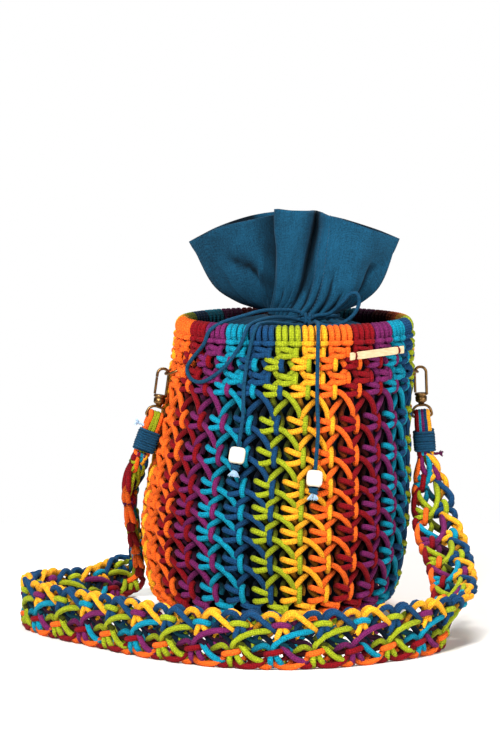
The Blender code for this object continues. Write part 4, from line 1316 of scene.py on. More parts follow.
    def stitches(self, rows: list, normals: list) -> Object:
        """Sew the side seam's two lines.

        Args:
            rows: Middle of the cloth.
            normals: Its outward ways.

        Returns:
            The stitches as one mesh.
        """
        edge, (first, apart) = rows[-1], self.seam_rows
        seam = min(range(self.sides), key=lambda side: abs(edge[side].x - self.seam_x) + (edge[side].y > 0))
        raised = 0.5 * self.thickness + 0.0001
        lines = [
            [row[side] + ways[side] * raised for row, ways in zip(rows[first:], normals[first:])]
            for side in (seam, (seam + apart) % self.sides)
        ]
        return StitchRow().sew("pouch_stitches", lines, self.finishes.stitch)


# ---- drawcord


CORD_RADIUS = 0.0016
CORD_CLEARANCE = 0.0003
BOW_CENTRE, BOW_SIZE, BOW_SWELL = (0.0286, -0.0378, 0.2505), (0.0055, 0.0045, 0.006), 1.03
BOW_WAYS = {
    "left_loop_out": (-0.85, 0.0, 0.85), "left_loop_back": (-1.0, -0.15, 0.0), "left_tail": (-0.8, -0.55, -0.85),
    "right_loop_out": (1.0, 0.0, 0.45), "right_loop_back": (1.0, -0.45, -0.25), "right_tail": (0.35, -1.0, -0.55),
}
# Turns of the bow's knot: lean in radians, shift along its axis, half width, half height
BOW_TURNS = (
    (0.0, -0.0016, 0.0034, 0.0046), (0.1, 0.0016, 0.0034, 0.0046), (1.45, -0.0012, 0.003, 0.0044),
    (1.75, 0.0014, 0.003, 0.004), (0.75, 0.0, 0.0026, 0.0038),
)
# Stretches from the bow to the rim are x, y, z. Stretches outside the wall are azimuth, height, distance out.
LEFT_LOOP_OUT = ((0.0105, -0.044, 0.259), (-0.009, -0.053, 0.259), (-0.027, -0.064, 0.255))
LEFT_LOOP_WALL = (
    (-39.7, 0.2508, 0.0005), (-44.2, 0.244, 0.0072), (-47.3, 0.2325, 0.0074), (-54.7, 0.2193, 0.0074),
    (-57.5, 0.2105, 0.0074), (-51.6, 0.2025, 0.0074), (-43.0, 0.2033, 0.0074), (-33.0, 0.216, 0.0074),
    (-26.5, 0.233, 0.0074), (-24.0, 0.2445, 0.0072), (-22.9, 0.251, 0.0),
)
LEFT_LOOP_BACK = ((-0.004, -0.07, 0.2545), (0.011, -0.05, 0.253))
LEFT_TAIL_IN = ((0.0125, -0.056, 0.248), (-0.001, -0.072, 0.2508))
LEFT_TAIL_WALL = (
    (-18.4, 0.2514, 0.0), (-19.0, 0.249, 0.0055), (-19.8, 0.244, 0.0076), (-21.0, 0.2345, 0.0074),
    (-22.1, 0.2185, 0.0074), (-22.1, 0.1984, 0.0076), (-20.4, 0.1785, 0.009), (-19.8, 0.164, 0.0108),
    (-19.6, 0.1522, 0.0122),
)
RIGHT_TAIL_IN = ((0.0335, -0.056, 0.249), (0.035, -0.07, 0.2508))
RIGHT_TAIL_WALL = (
    (11.2, 0.2508, 0.0), (10.4, 0.244, 0.0072), (10.2, 0.2335, 0.0074), (10.6, 0.213, 0.0074),
    (11.5, 0.1905, 0.0074), (13.3, 0.1669, 0.0092), (13.4, 0.148, 0.011), (13.2, 0.134, 0.0122),
)
RIGHT_LOOP = (
    (0.047, -0.0415, 0.256), (0.057, -0.045, 0.265), (0.064, -0.046, 0.2725), (0.0695, -0.0475, 0.2725),
    (0.0712, -0.049, 0.2655), (0.0675, -0.052, 0.257), (0.06, -0.056, 0.2505), (0.05, -0.056, 0.247),
    (0.0425, -0.0495, 0.2468),
)


def leave_bow(name: str) -> list[Vector]:
    """Find the first two points of a cord as it leaves the bow's knot.

    Args:
        name: Key of the cord's way.

    Returns:
        The two points.
    """
    way = Vector(BOW_WAYS[name]).normalized()
    reach = 1.0 / sqrt(sum((share / size) ** 2 for share, size in zip(way, BOW_SIZE)))
    normal = Vector([share / size**2 for share, size in zip(way, BOW_SIZE)]).normalized()
    start = Vector(BOW_CENTRE) + way * reach * BOW_SWELL + normal * 2.0 * CORD_CLEARANCE
    return [start, start + normal * 1.5 * CORD_RADIUS]


@dataclass
class Drawcord(SweptAssembly):
    """The cord round the pouch's neck, its bow, beads and stopper knots.

    Attributes:
        bead_radius: Radius of a bead.
        bead_height: Height of a bead.
        bead_cut: Share of a ball's height that a bead's flat ends leave off, at each end.
        bead_powers: Powers that square a bead's rise and its reach.
        hole_radius: Radius of a bead's hole.
        neck_turn: Radius of the turn round the neck.
        frays: Number of threads of a frayed end.
    """

    bead_radius: float = 0.0069
    bead_height: float = 0.0138
    bead_cut: float = 0.12
    bead_powers: tuple[float, float] = (0.55, 0.5)
    hole_radius: float = 0.0015
    neck_turn: float = 0.0266
    frays: int = 56

    def cord(self, name: str, route: list[Vector], far_end: str, with_pieces: list, count: int) -> None:
        """Args:
            name: Name of the solid that it replaces.
            route: Points that it passes through.
            far_end: What its far end is; not used.
            with_pieces: Pieces on it; not used.
            count: Points along it.
        """
        line = even_curve(route, count)
        piece = self.sweeper.sweep(name + "_cord", [line], CORD_RADIUS, self.finishes.drawcord, sides=12)
        attach(piece, "blue_cord", name)

    def bow(self) -> None:
        """Tie the bow's middle knot from crossing turns."""
        turns = []
        for lean, shift, wide, high in BOW_TURNS:
            along, up = Vector((cos(lean), 0.0, -sin(lean))), Vector((sin(lean), 0.0, cos(lean)))
            centre = Vector(BOW_CENTRE) + along * shift
            turns.append(ring_points(centre, up * high, Vector((0.0, -wide, 0.0)), 1.0, 24))
        knot = self.sweeper.sweep("bow_turns", turns, 0.0014, self.finishes.drawcord, closed=True)
        attach(knot, "blue_cord", "bow_knot")

    def bead(self, side: str, top: Vector, way: Vector, squareness: float) -> Object:
        """Turn one drilled bead with softened corners.

        Args:
            side: Side of the tail that it is on.
            top: Middle of its top.
            way: Direction of its hole.
            squareness: Power of its outline; smaller is squarer.

        Returns:
            The bead.
        """
        first, second = square_frame(way)
        across, around = 48, 18
        points = []
        for row in range(around + 1):
            polar = pi * (self.bead_cut + (1.0 - 2.0 * self.bead_cut) * row / around)
            middle = top + way * self.bead_height * (signed_power(-cos(polar), self.bead_powers[0]) * 0.5 + 0.5)
            reach = self.bead_radius * sin(polar) ** self.bead_powers[1] * 0.96
            for angle in (tau * step / across for step in range(across)):
                one, two = signed_power(cos(angle), squareness), signed_power(sin(angle), squareness)
                points.append(middle + (first * one + second * two) * reach)
        for level in (0.985, 0.015):
            points += ring_points(top + way * self.bead_height * level, first, second, self.hole_radius, across)
        mesh = new_mesh(f"wooden_bead_{side}", points, band_faces(around + 3, across, closed=True))
        return attach(link_mesh(mesh, self.finishes.bead_wood), "pale_wood", f"bead_{side}")

    def stopper(self, side: str, top: Vector, way: Vector, rng: Random) -> list[Object]:
        """Tie the stopper knot under a bead and fray the cord's end.

        Args:
            side: Side of the tail.
            top: Top of the knot.
            way: Direction of the tail.
            rng: Random source of the frayed threads.

        Returns:
            The knot and the threads.
        """
        first, second = square_frame(way)
        turns = []
        for turn in range(2):
            ring = ring_points(top + way * (0.0016 + 0.0024 * turn), first, second, 0.0025, 18)
            waves = (0.0007 * sin(tau * step / 18 + turn * 2.0) for step in range(18))
            turns.append([spot + way * wave for spot, wave in zip(ring, waves)])
        knot = self.sweeper.sweep(f"stopper_turns_{side}", turns, 0.0015, self.finishes.drawcord, closed=True)
        threads = []
        for _ in range(self.frays):
            angle, spread = rng.uniform(0.0, tau), rng.uniform(0.1, 1.0)
            out = first * cos(angle) + second * sin(angle)
            bend = first * rng.uniform(-0.0008, 0.0008) + second * rng.uniform(-0.0008, 0.0008)
            length = rng.uniform(0.004, 0.0062)
            threads.append([
                top + way * (0.0046 + length * share) + out * (0.0012 + 0.0034 * spread * share) + bend * share**2
                for share in (0.0, 0.25, 0.5, 0.75, 1.0)
            ])
        fray = self.sweeper.sweep(f"frayed_end_{side}", threads, 0.00026, self.finishes.fray, sides=5, taper=0.5)
        return [attach(knot, "blue_cord", f"stopper_knot_{side}"), attach(fray, "blue_cord")]

    def build(self) -> None:
        """Lay the whole drawcord."""
        rng = Random(9)
        ring = ring_points(Vector(NECK), Vector((0.0, 1.0, 0.0)), Vector((1.0, 0.0, 0.0)), self.neck_turn, 72)
        for step, spot in enumerate(ring):
            spot.z += 0.0006 * sin(3 * tau * step / len(ring))
        turn = self.sweeper.sweep("neck_turn", [ring], CORD_RADIUS, self.finishes.drawcord, sides=12, closed=True)
        attach(turn, "blue_cord", "drawcord_neck_turn")
        self.bow()
        left = [Vector(point) for point in LEFT_LOOP_OUT] + [wall_point(*row) for row in LEFT_LOOP_WALL]
        left += [Vector(point) for point in LEFT_LOOP_BACK]
        for side, route, count in (("left", left, 110), ("right", [Vector(point) for point in RIGHT_LOOP], 60)):
            name = f"{side}_loop"
            route = leave_bow(name + "_out") + route + leave_bow(name + "_back")[::-1]
            self.cord("drawcord_" + name, route, "object", [], count)
        for side, start, outside, squareness in (
            ("left", LEFT_TAIL_IN, LEFT_TAIL_WALL, 0.5), ("right", RIGHT_TAIL_IN, RIGHT_TAIL_WALL, 0.68),
        ):
            route = leave_bow(f"{side}_tail") + [Vector(point) for point in start]
            route += [wall_point(*row) for row in outside]
            way = (route[-1] - route[-2]).normalized()
            top = route[-1] + way * CORD_CLEARANCE
            bead = self.bead(side, top, way, squareness)
            knots = self.stopper(side, top + way * (self.bead_height + CORD_CLEARANCE), way, rng)
            self.cord(f"drawcord_{side}_tail", route, "knot", [bead, *knots], 80)


# ---- fittings and strap ends


RING_HEIGHT, RING_RADIUS, RING_WIRE, RING_TILT = 0.2076, 0.0105, 0.001, 25.0
HOOK_PAST_RING, HOOK_BELOW_RING, HOOK_WIRE = 0.0022, 0.0178, 0.0012
HOOK_HALF_WIDTH, HOOK_STRAIGHT, HOOK_NOSE = 0.0048, 0.0172, 0.0146
GATE_WIRE, GATE_PIVOT, GATE_TOP = 0.0011, 0.0015, 0.0143
BARREL_LENGTH = 0.0085
# Corners of the barrel as radius and height: by its foot's end, then by the hook's base
BARREL_FOOT = ((0.0016, -0.0012), (0.0024, -0.001), (0.0028, 0.0002), (0.0043, 0.001), (0.0048, 0.0018))
BARREL_HEAD = (
    (0.005, -0.0032), (0.0043, -0.003), (0.0043, -0.0023), (0.0054, -0.002), (0.0054, -0.0004), (0.0047, 0.0),
)
LOOP_WIRE, LOOP_DROP, LOOP_SEAT = 0.0011, 0.0095, 0.002
LOOP_OUTLINE = ((0.0, 0.0), (0.0036, 0.0003), (0.0066, 0.0025), (0.0079, 0.0056), (0.0074, 0.0092))
WHIP_START, WHIP_LENGTH, WHIP_WALL, WHIP_CLEARANCE = 0.011, 0.02, 0.003, 0.0005
FOLD_HALF_WIDTH, FOLD_HALF_THICKNESS, FOLD_RADIUS, LEG_SPREAD = 0.0058, 0.0019, 0.0036, 0.0022
# The fold's straight parts: drops below the bar of the near leg, drop and spread of the shoulders, drops of the far leg
FOLD_NEAR, FOLD_SHOULDER, FOLD_FAR = (0.024, 0.018, 0.011), (0.005, 0.0031), (0.011, 0.02, 0.033)


@dataclass(frozen=True)
class FittingSetting:
    """Where one side's fittings hang, and its loose cord end.

    Attributes:
        side: Name of the side.
        column: Column of the net that the ring goes round.
        ring_out: Ring's stand-off from the wall.
        hook_lean: Lean of the hook in degrees.
        loop_lean: Lean of the D loop in degrees.
        gate_side: Side of the hook that the gate closes.
        seed: Seed of the whipping's unevenness.
        end_drop: Distance of the loose cord end below the D loop's bar.
        end_turn: Way along the strap that it comes from, 1 or -1.
        end_colour: Its colour, or None for undyed.
        cords: Colours of the cords folded over the bar.
    """

    side: str
    column: int
    ring_out: float
    hook_lean: float
    loop_lean: float
    gate_side: float
    seed: int
    end_drop: float
    end_turn: float
    end_colour: CordColour | None
    cords: tuple[CordColour, ...]


SETTINGS = (
    FittingSetting(
        "left", -6, 0.0015, 8.0, 20.0, 1.0, 21, 0.0085, 1.0, None,
        (CordColour.ORANGE, CordColour.LIME, CordColour.LIME, CordColour.ORANGE),
    ),
    FittingSetting(
        "right", 7, -0.0005, 2.0, 5.0, -1.0, 22, 0.0325, -1.0, CordColour.PURPLE,
        (CordColour.DARK_RED, CordColour.TURQUOISE, CordColour.PURPLE, CordColour.DENIM, CordColour.YELLOW),
    ),
)


class FittingFrame:
    """Places and directions of one ring, hook, D loop and folded strap end."""

    def __init__(self, setting: FittingSetting) -> None:
        azimuth = twist_at(RING_HEIGHT) + (setting.column + 0.5) * COLUMN_STEP
        tilt, lean = radians(RING_TILT), radians(setting.hook_lean)
        outward, self.tangent = compass(radians(azimuth))
        upward = Vector((0.0, 0.0, 1.0))
        self.ring_centre = wall_point(azimuth, RING_HEIGHT, setting.ring_out)
        self.ring_way = outward * cos(tilt) - upward * sin(tilt)
        self.hook_up = upward * cos(lean) - outward * sin(lean)
        self.hook_out = outward * cos(lean) + upward * sin(lean)
        ring_wire = self.ring_centre + self.ring_way * RING_RADIUS
        self.hook_base = ring_wire + self.hook_out * HOOK_PAST_RING - self.hook_up * HOOK_BELOW_RING
        lean = radians(setting.loop_lean)
        self.down = outward * sin(lean) - upward * cos(lean)
        self.bar = outward * cos(lean) + upward * sin(lean)
        self.across = self.bar.cross(self.down)
        self.loop_top = self.hook_base - self.hook_up * (BARREL_LENGTH + LOOP_SEAT)
        self.bar_centre = self.loop_top + self.down * LOOP_DROP
        self.setting = setting

    def at(self, drop: float, beside: float = 0.0, spread: float = 0.0) -> Vector:
        """Find a place by the D loop's bar."""
        return self.bar_centre + self.down * drop + self.across * spread + self.bar * beside

    def fold(self, beside: float, thick: float = 0.0) -> list[Vector]:
        """Lead one cord over the D loop's bar.

        Args:
            beside: Its place along the bar.
            thick: How far outside the fold's middle it lies.

        Returns:
            Points from under the whipping over the bar to the other leg.
        """
        drop, spread = FOLD_SHOULDER
        turns = [pi * step / 8 for step in range(9)]
        spots = [(low, LEG_SPREAD) for low in FOLD_NEAR] + [(drop, spread)]
        spots += [(-FOLD_RADIUS * sin(turn), FOLD_RADIUS * cos(turn)) for turn in turns]
        spots += [(drop, -spread)] + [(low, -LEG_SPREAD) for low in FOLD_FAR]
        line = []
        for drop, spread in spots:
            swell = 1.0 + thick / max(hypot(min(drop, 0.0), spread), 1e-4)
            pinch = 1.0 - 0.12 * exp(-((drop / 0.004) ** 2))
            line.append(self.at(drop * (swell if drop < 0 else 1.0), beside * pinch, spread * swell))
        return line


@dataclass
class Fittings(SweptAssembly):
    """Ring, swivel snap hook, gate, D loop and whipping of one side.

    Attributes:
        frame: Places of this side.
        thread_radius: Radius of the whipping's thread.
        turn_pitch: Distance from turn to turn of the whipping.
        turn_steps: Points of one turn.
        core_drops: Distances below the bar of the points of the filling under the thread.
        core_places: Places of the filling's cords along the bar.
        core_radius: Radius of the filling's cords.
        end_place: Place of the loose cord end along the bar.
        frays: Number of threads of its frayed tip.
    """

    frame: FittingFrame
    thread_radius: float = 0.00115
    turn_pitch: float = 0.0021
    turn_steps: int = 28
    core_drops: tuple[float, ...] = (0.0122, 0.021, 0.0298)
    core_places: tuple[float, ...] = (-0.0048, -0.0024, 0.0, 0.0024, 0.0048)
    core_radius: float = 0.0038
    end_place: float = 0.0075
    frays: int = 26

    def wire(self, name: str, line: list, radius: float, closed: bool, body: str = "bag") -> Object:
        """Bend one piece of brass wire.

        Args:
            name: Name of the solid that it replaces, without its side.
            line: Its centre line.
            radius: Radius of the wire.
            closed: Whether it closes on itself.
            body: Body that it rides on.

        Returns:
            The piece.
        """
        side = self.frame.setting.side
        piece = self.sweeper.sweep(f"{name}_wire_{side}", [line], radius, self.finishes.brass, sides=16, closed=closed)
        return attach(piece, "antique_brass", f"{name}_{side}", body=body)

    def barrel(self, sides: int = 40) -> Object:
        """Turn the barrel that the hook swivels in.

        Args:
            sides: Sides of the barrel.

        Returns:
            The barrel.
        """
        place = self.frame
        first, second = square_frame(place.hook_up)
        points = []
        profile = [(radius, height - BARREL_LENGTH) for radius, height in BARREL_FOOT] + list(BARREL_HEAD)
        for radius, height in profile:
            points += ring_points(place.hook_base + place.hook_up * height, first, second, radius, sides)
        faces = band_faces(len(profile), sides)
        faces += [tuple(range(sides))[::-1], tuple(range(len(points) - sides, len(points)))]
        mesh = new_mesh(f"barrel_{place.setting.side}", points, faces)
        return attach(link_mesh(mesh, self.finishes.brass), "antique_brass")

    def metal(self) -> None:
        """Make the ring, the hook with its barrel, the gate and the D loop."""
        place = self.frame
        ring = ring_points(place.ring_centre, place.ring_way, place.tangent, RING_RADIUS, 64)
        self.wire("ring", ring, RING_WIRE, True)
        base, up = place.hook_base, place.hook_up
        aside = place.hook_out * place.setting.gate_side * HOOK_HALF_WIDTH
        crown = base + up * HOOK_STRAIGHT
        hook = [base - aside + up * height for height in (-0.0015, 0.003, 0.008, 0.013)]
        for turn in (pi * step / 24 for step in range(25)):
            hook.append(crown - aside * cos(turn) + up * HOOK_HALF_WIDTH * sin(turn))
        hook.append(base + aside + up * HOOK_NOSE)
        body = self.wire("hook", hook, HOOK_WIRE, False)
        self.barrel().parent = body
        pivot = base + aside + up * GATE_PIVOT
        gate = [pivot + up * height for height in (-0.0011, 0.002, 0.007, GATE_TOP - GATE_PIVOT)]
        self.wire("gate", gate, GATE_WIRE, False, f"gate_{place.setting.side}")
        left_half = [(-along, below) for along, below in reversed(LOOP_OUTLINE[1:])]
        corners = [
            place.loop_top + place.bar * along + place.down * below
            for along, below in [(0.0, LOOP_DROP), *left_half, *LOOP_OUTLINE]
        ]
        self.wire("d_loop", even_curve(corners, 64, closed=True), LOOP_WIRE, True)

    def whipping(self, rng: Random) -> None:
        """Wind the thread round the strap's folded end.

        Args:
            rng: Random source of its unevenness.
        """
        place, side, steps = self.frame, self.frame.setting.side, self.turn_steps
        wall = WHIP_CLEARANCE + WHIP_WALL - self.thread_radius
        wide, deep = FOLD_HALF_WIDTH + wall, LEG_SPREAD + FOLD_HALF_THICKNESS + wall
        turns = int((WHIP_LENGTH - 2 * self.thread_radius) / self.turn_pitch)
        line, slip = [], [rng.uniform(-0.00025, 0.00025) for _ in range(turns + 2)]
        for step in range(turns * steps + 1):
            cosine, sine = cos(tau * step / steps), sin(tau * step / steps)
            drop = WHIP_START + self.thread_radius + self.turn_pitch * step / steps + slip[step // steps] * sine
            bulge = 1.0 + 0.03 * sin(pi * step / (turns * steps)) + slip[step // steps + 1] * 60.0
            beside, spread = signed_power(cosine, 0.5) * wide, signed_power(sine, 0.5) * deep
            line.append(place.at(drop, beside * bulge, spread * bulge))
        finish = self.finishes.thread
        thread = self.sweeper.sweep(f"whipping_thread_{side}", [line], self.thread_radius, finish)
        attach(thread, "blue_cord", f"whipping_{side}")
        lines = [[place.at(drop, beside) for drop in self.core_drops] for beside in self.core_places]
        attach(self.sweeper.sweep(f"whipping_core_{side}", lines, self.core_radius, finish), "blue_cord")

    def loose_end(self, rng: Random) -> None:
        """Let one cord's frayed end out beside the whipping.

        Args:
            rng: Random source of its threads.
        """
        place, setting = self.frame, self.frame.setting
        finish = self.finishes.net[setting.end_colour] if setting.end_colour else self.finishes.fray
        root = place.at(setting.end_drop, self.end_place)
        stub = [root - place.bar * 0.005 + place.down * 0.004 * setting.end_turn, root, root + place.bar * 0.0035]
        end = self.sweeper.sweep(f"cord_end_{setting.side}", [smooth_line(stub, 6)], 0.0012, finish, sides=8)
        threads = []
        for _ in range(self.frays):
            way = (place.bar + place.down * rng.uniform(-0.9, 0.9) + place.across * rng.uniform(-0.9, 0.9)).normalized()
            start = root + place.bar * 0.003
            threads.append([start + way * length for length in (0.0, 0.0014, 0.003, rng.uniform(0.0038, 0.0052))])
        fray = self.sweeper.sweep(f"cord_fray_{setting.side}", threads, 0.00022, finish, sides=5)
        for piece in (end, fray):
            attach(piece, "knotted_cord")

    def build(self) -> None:
        """Make the metal pieces, the whipping and the loose end."""
        self.metal()
        rng = Random(self.frame.setting.seed)
        self.whipping(rng)
        self.loose_end(rng)


# ---- strap


# Centre line from the left whipping to the right one: x, y, z, width direction x, y, z, half width
STRAP_PATH = (
    (-0.118, -0.015, 0.113, 0.45, 0.85, 0.2, 0.0125), (-0.1205, 0.0, 0.094, 0.05, 0.97, 0.25, 0.0165),
    (-0.12, 0.02, 0.073, 0.0, 0.92, 0.38, 0.018), (-0.1175, 0.041, 0.0535, -0.05, 0.8, 0.6, 0.0185),
    (-0.1165, 0.057, 0.037, -0.1, 0.66, 0.74, 0.0185), (-0.12, 0.0665, 0.0255, -0.22, 0.5, 0.84, 0.0183),
    (-0.1285, 0.064, 0.02, -0.3, 0.25, 0.92, 0.0182), (-0.1375, 0.048, 0.018, -0.35, 0.33, 0.88, 0.0178),
    (-0.149, 0.029, 0.0166, -0.38, 0.42, 0.82, 0.0175), (-0.168, 0.008, 0.0166, -0.35, 0.4, 0.85, 0.0178),
    (-0.189, -0.02, 0.0186, -0.22, 0.2, 0.95, 0.0188), (-0.2035, -0.062, 0.0202, 0.0, 0.0, 1.0, 0.0197),
    (-0.2, -0.1, 0.0212, 0.0, 0.0, 1.0, 0.0207), (-0.18, -0.137, 0.022, 0.0, 0.0, 1.0, 0.0215),
    (-0.15, -0.172, 0.0224, 0.0, 0.0, 1.0, 0.0219), (-0.115, -0.213, 0.0227, 0.0, 0.0, 1.0, 0.0222),
    (-0.076, -0.249, 0.0229, 0.0, 0.0, 1.0, 0.0224), (-0.036, -0.272, 0.023, 0.0, 0.0, 1.0, 0.0225),
    (0.008, -0.28, 0.023, 0.0, 0.0, 1.0, 0.0225), (0.052, -0.269, 0.023, 0.0, 0.0, 1.0, 0.0225),
    (0.086, -0.248, 0.0229, 0.0, 0.0, 1.0, 0.0224), (0.113, -0.227, 0.0228, 0.08, 0.02, 1.0, 0.0223),
    (0.1365, -0.1935, 0.0228, 0.33, 0.2, 0.92, 0.022), (0.144, -0.154, 0.0285, 0.75, 0.05, 0.66, 0.0205),
    (0.1475, -0.115, 0.04, 0.95, 0.0, 0.31, 0.019), (0.1449, -0.072, 0.0546, 1.0, 0.0, 0.1, 0.0198),
    (0.1405, -0.044, 0.0672, 1.0, 0.0, 0.05, 0.0206), (0.1365, -0.026, 0.0812, 1.0, 0.0, 0.05, 0.019),
    (0.1348, -0.013, 0.0968, 1.0, 0.0, 0.05, 0.0172), (0.1325, -0.004, 0.1131, 1.0, 0.0, 0.05, 0.0135),
)
# Strands of one repeat of the strap's net, in the order that they are laid in, each after the key of its colour:
# along in repeats, across from -1 at the lower edge, distance out in millimetres
STRAP_STRANDS = (
    ("other_edge", (
        (0.18, 0.14, -1.0), (0.34, 0.36, 0.4), (0.48, 0.6, 0.2), (0.62, 0.9, 1.2), (0.76, 1.0, 2.0),
        (0.9, 0.92, 1.6), (0.98, 0.66, 0.6),
    )),
    ("edge", (
        (0.03, 0.66, 1.0), (0.14, 0.88, 2.0), (0.26, 0.98, 2.6), (0.42, 0.88, 3.0), (0.62, 0.62, 2.6),
        (0.8, 0.4, 1.6), (0.9, 0.24, -0.4),
    )),
    ("upper_bar", ((-0.2, 0.52, 0.6), (-0.15, 0.58, 2.8), (0.0, 0.62, 3.8), (0.15, 0.58, 2.8), (0.2, 0.52, 0.6))),
    ("edge", ((-0.03, 0.56, 0.8), (-0.06, 0.38, 2.4), (-0.12, 0.16, 2.4), (-0.17, -0.04, 0.6))),
    ("edge", ((0.05, 0.56, 0.8), (0.09, 0.4, 2.2), (0.13, 0.28, 1.6), (0.18, 0.16, -0.4))),
    ("inner", (
        (-0.21, -0.34, 0.8), (-0.16, -0.16, 2.2), (0.0, 0.06, 3.0), (0.22, 0.22, 3.2), (0.45, 0.31, 2.8),
        (0.7, 0.34, 1.6), (0.85, 0.4, -0.4),
    )),
    ("down", ((-0.02, -0.12, 0.6), (0.1, -0.36, 2.2), (0.28, -0.62, 2.8), (0.48, -0.78, 2.2), (0.62, -0.8, 0.6))),
    ("lower_bar", (
        (-0.4, -0.56, 0.6), (-0.35, -0.52, 2.8), (-0.2, -0.47, 3.8), (-0.05, -0.42, 2.8), (0.0, -0.42, 0.6),
    )),
    ("inner", ((-0.24, -0.48, 0.8), (-0.25, -0.64, 2.4), (-0.25, -0.84, 2.2), (-0.23, -0.98, 0.4))),
    ("inner", ((-0.12, -0.5, 0.8), (-0.08, -0.64, 2.2), (-0.01, -0.8, 2.0), (0.04, -0.92, 0.4))),
    ("other_low", (
        (-0.3, -0.62, -0.4), (-0.16, -0.88, 0.6), (0.04, -1.0, 1.8), (0.28, -0.98, 2.4), (0.5, -0.84, 2.0),
        (0.66, -0.64, 0.2),
    )),
    ("low", ((0.2, -0.66, -0.8), (0.34, -0.86, 0.2), (0.52, -1.0, 1.2), (0.68, -0.98, 1.8), (0.76, -0.8, 0.6))),
    ("next_inner", ((0.3, 0.1, -1.4), (0.46, -0.1, -1.8), (0.62, -0.26, -1.4))),
    ("inner", (
        (-0.72, -0.42, 0.0), (-0.58, -0.3, 1.0), (-0.44, -0.22, 1.4), (-0.32, -0.3, 1.0), (-0.24, -0.44, 0.0),
    )),
)
# Strands of the strap's middle, darkened between the others by painted shade
MIDDLE_STRANDS = (
    ((0.02, 0.34, 0.4), (0.16, 0.12, -0.2), (0.34, -0.06, -0.6), (0.56, -0.14, -0.4), (0.74, -0.34, 0.2)),
    ((0.4, 0.44, 0.3), (0.54, 0.22, -0.4), (0.68, 0.04, -0.6), (0.8, -0.18, -0.2), (0.86, -0.42, 0.3)),
    ((0.06, -0.3, 0.2), (0.2, -0.44, -0.4), (0.36, -0.5, -0.6), (0.52, -0.52, -0.4), (0.66, -0.44, 0.2)),
    ((0.9, 0.4, 0.0), (1.02, 0.16, -0.6), (1.16, -0.1, -0.8), (1.3, -0.34, -0.4)),
)
BAR_KEYS = ("upper_bar", "lower_bar")
UPPER_COLOURS = (CordColour.LIME, CordColour.PURPLE, CordColour.LIME, CordColour.TURQUOISE)
MIXED_COLOURS = (CordColour.TURQUOISE, CordColour.PURPLE)
EDGE_COLOURS, LOW_COLOURS = (CordColour.DENIM, CordColour.YELLOW), (CordColour.ORANGE, CordColour.DARK_RED)


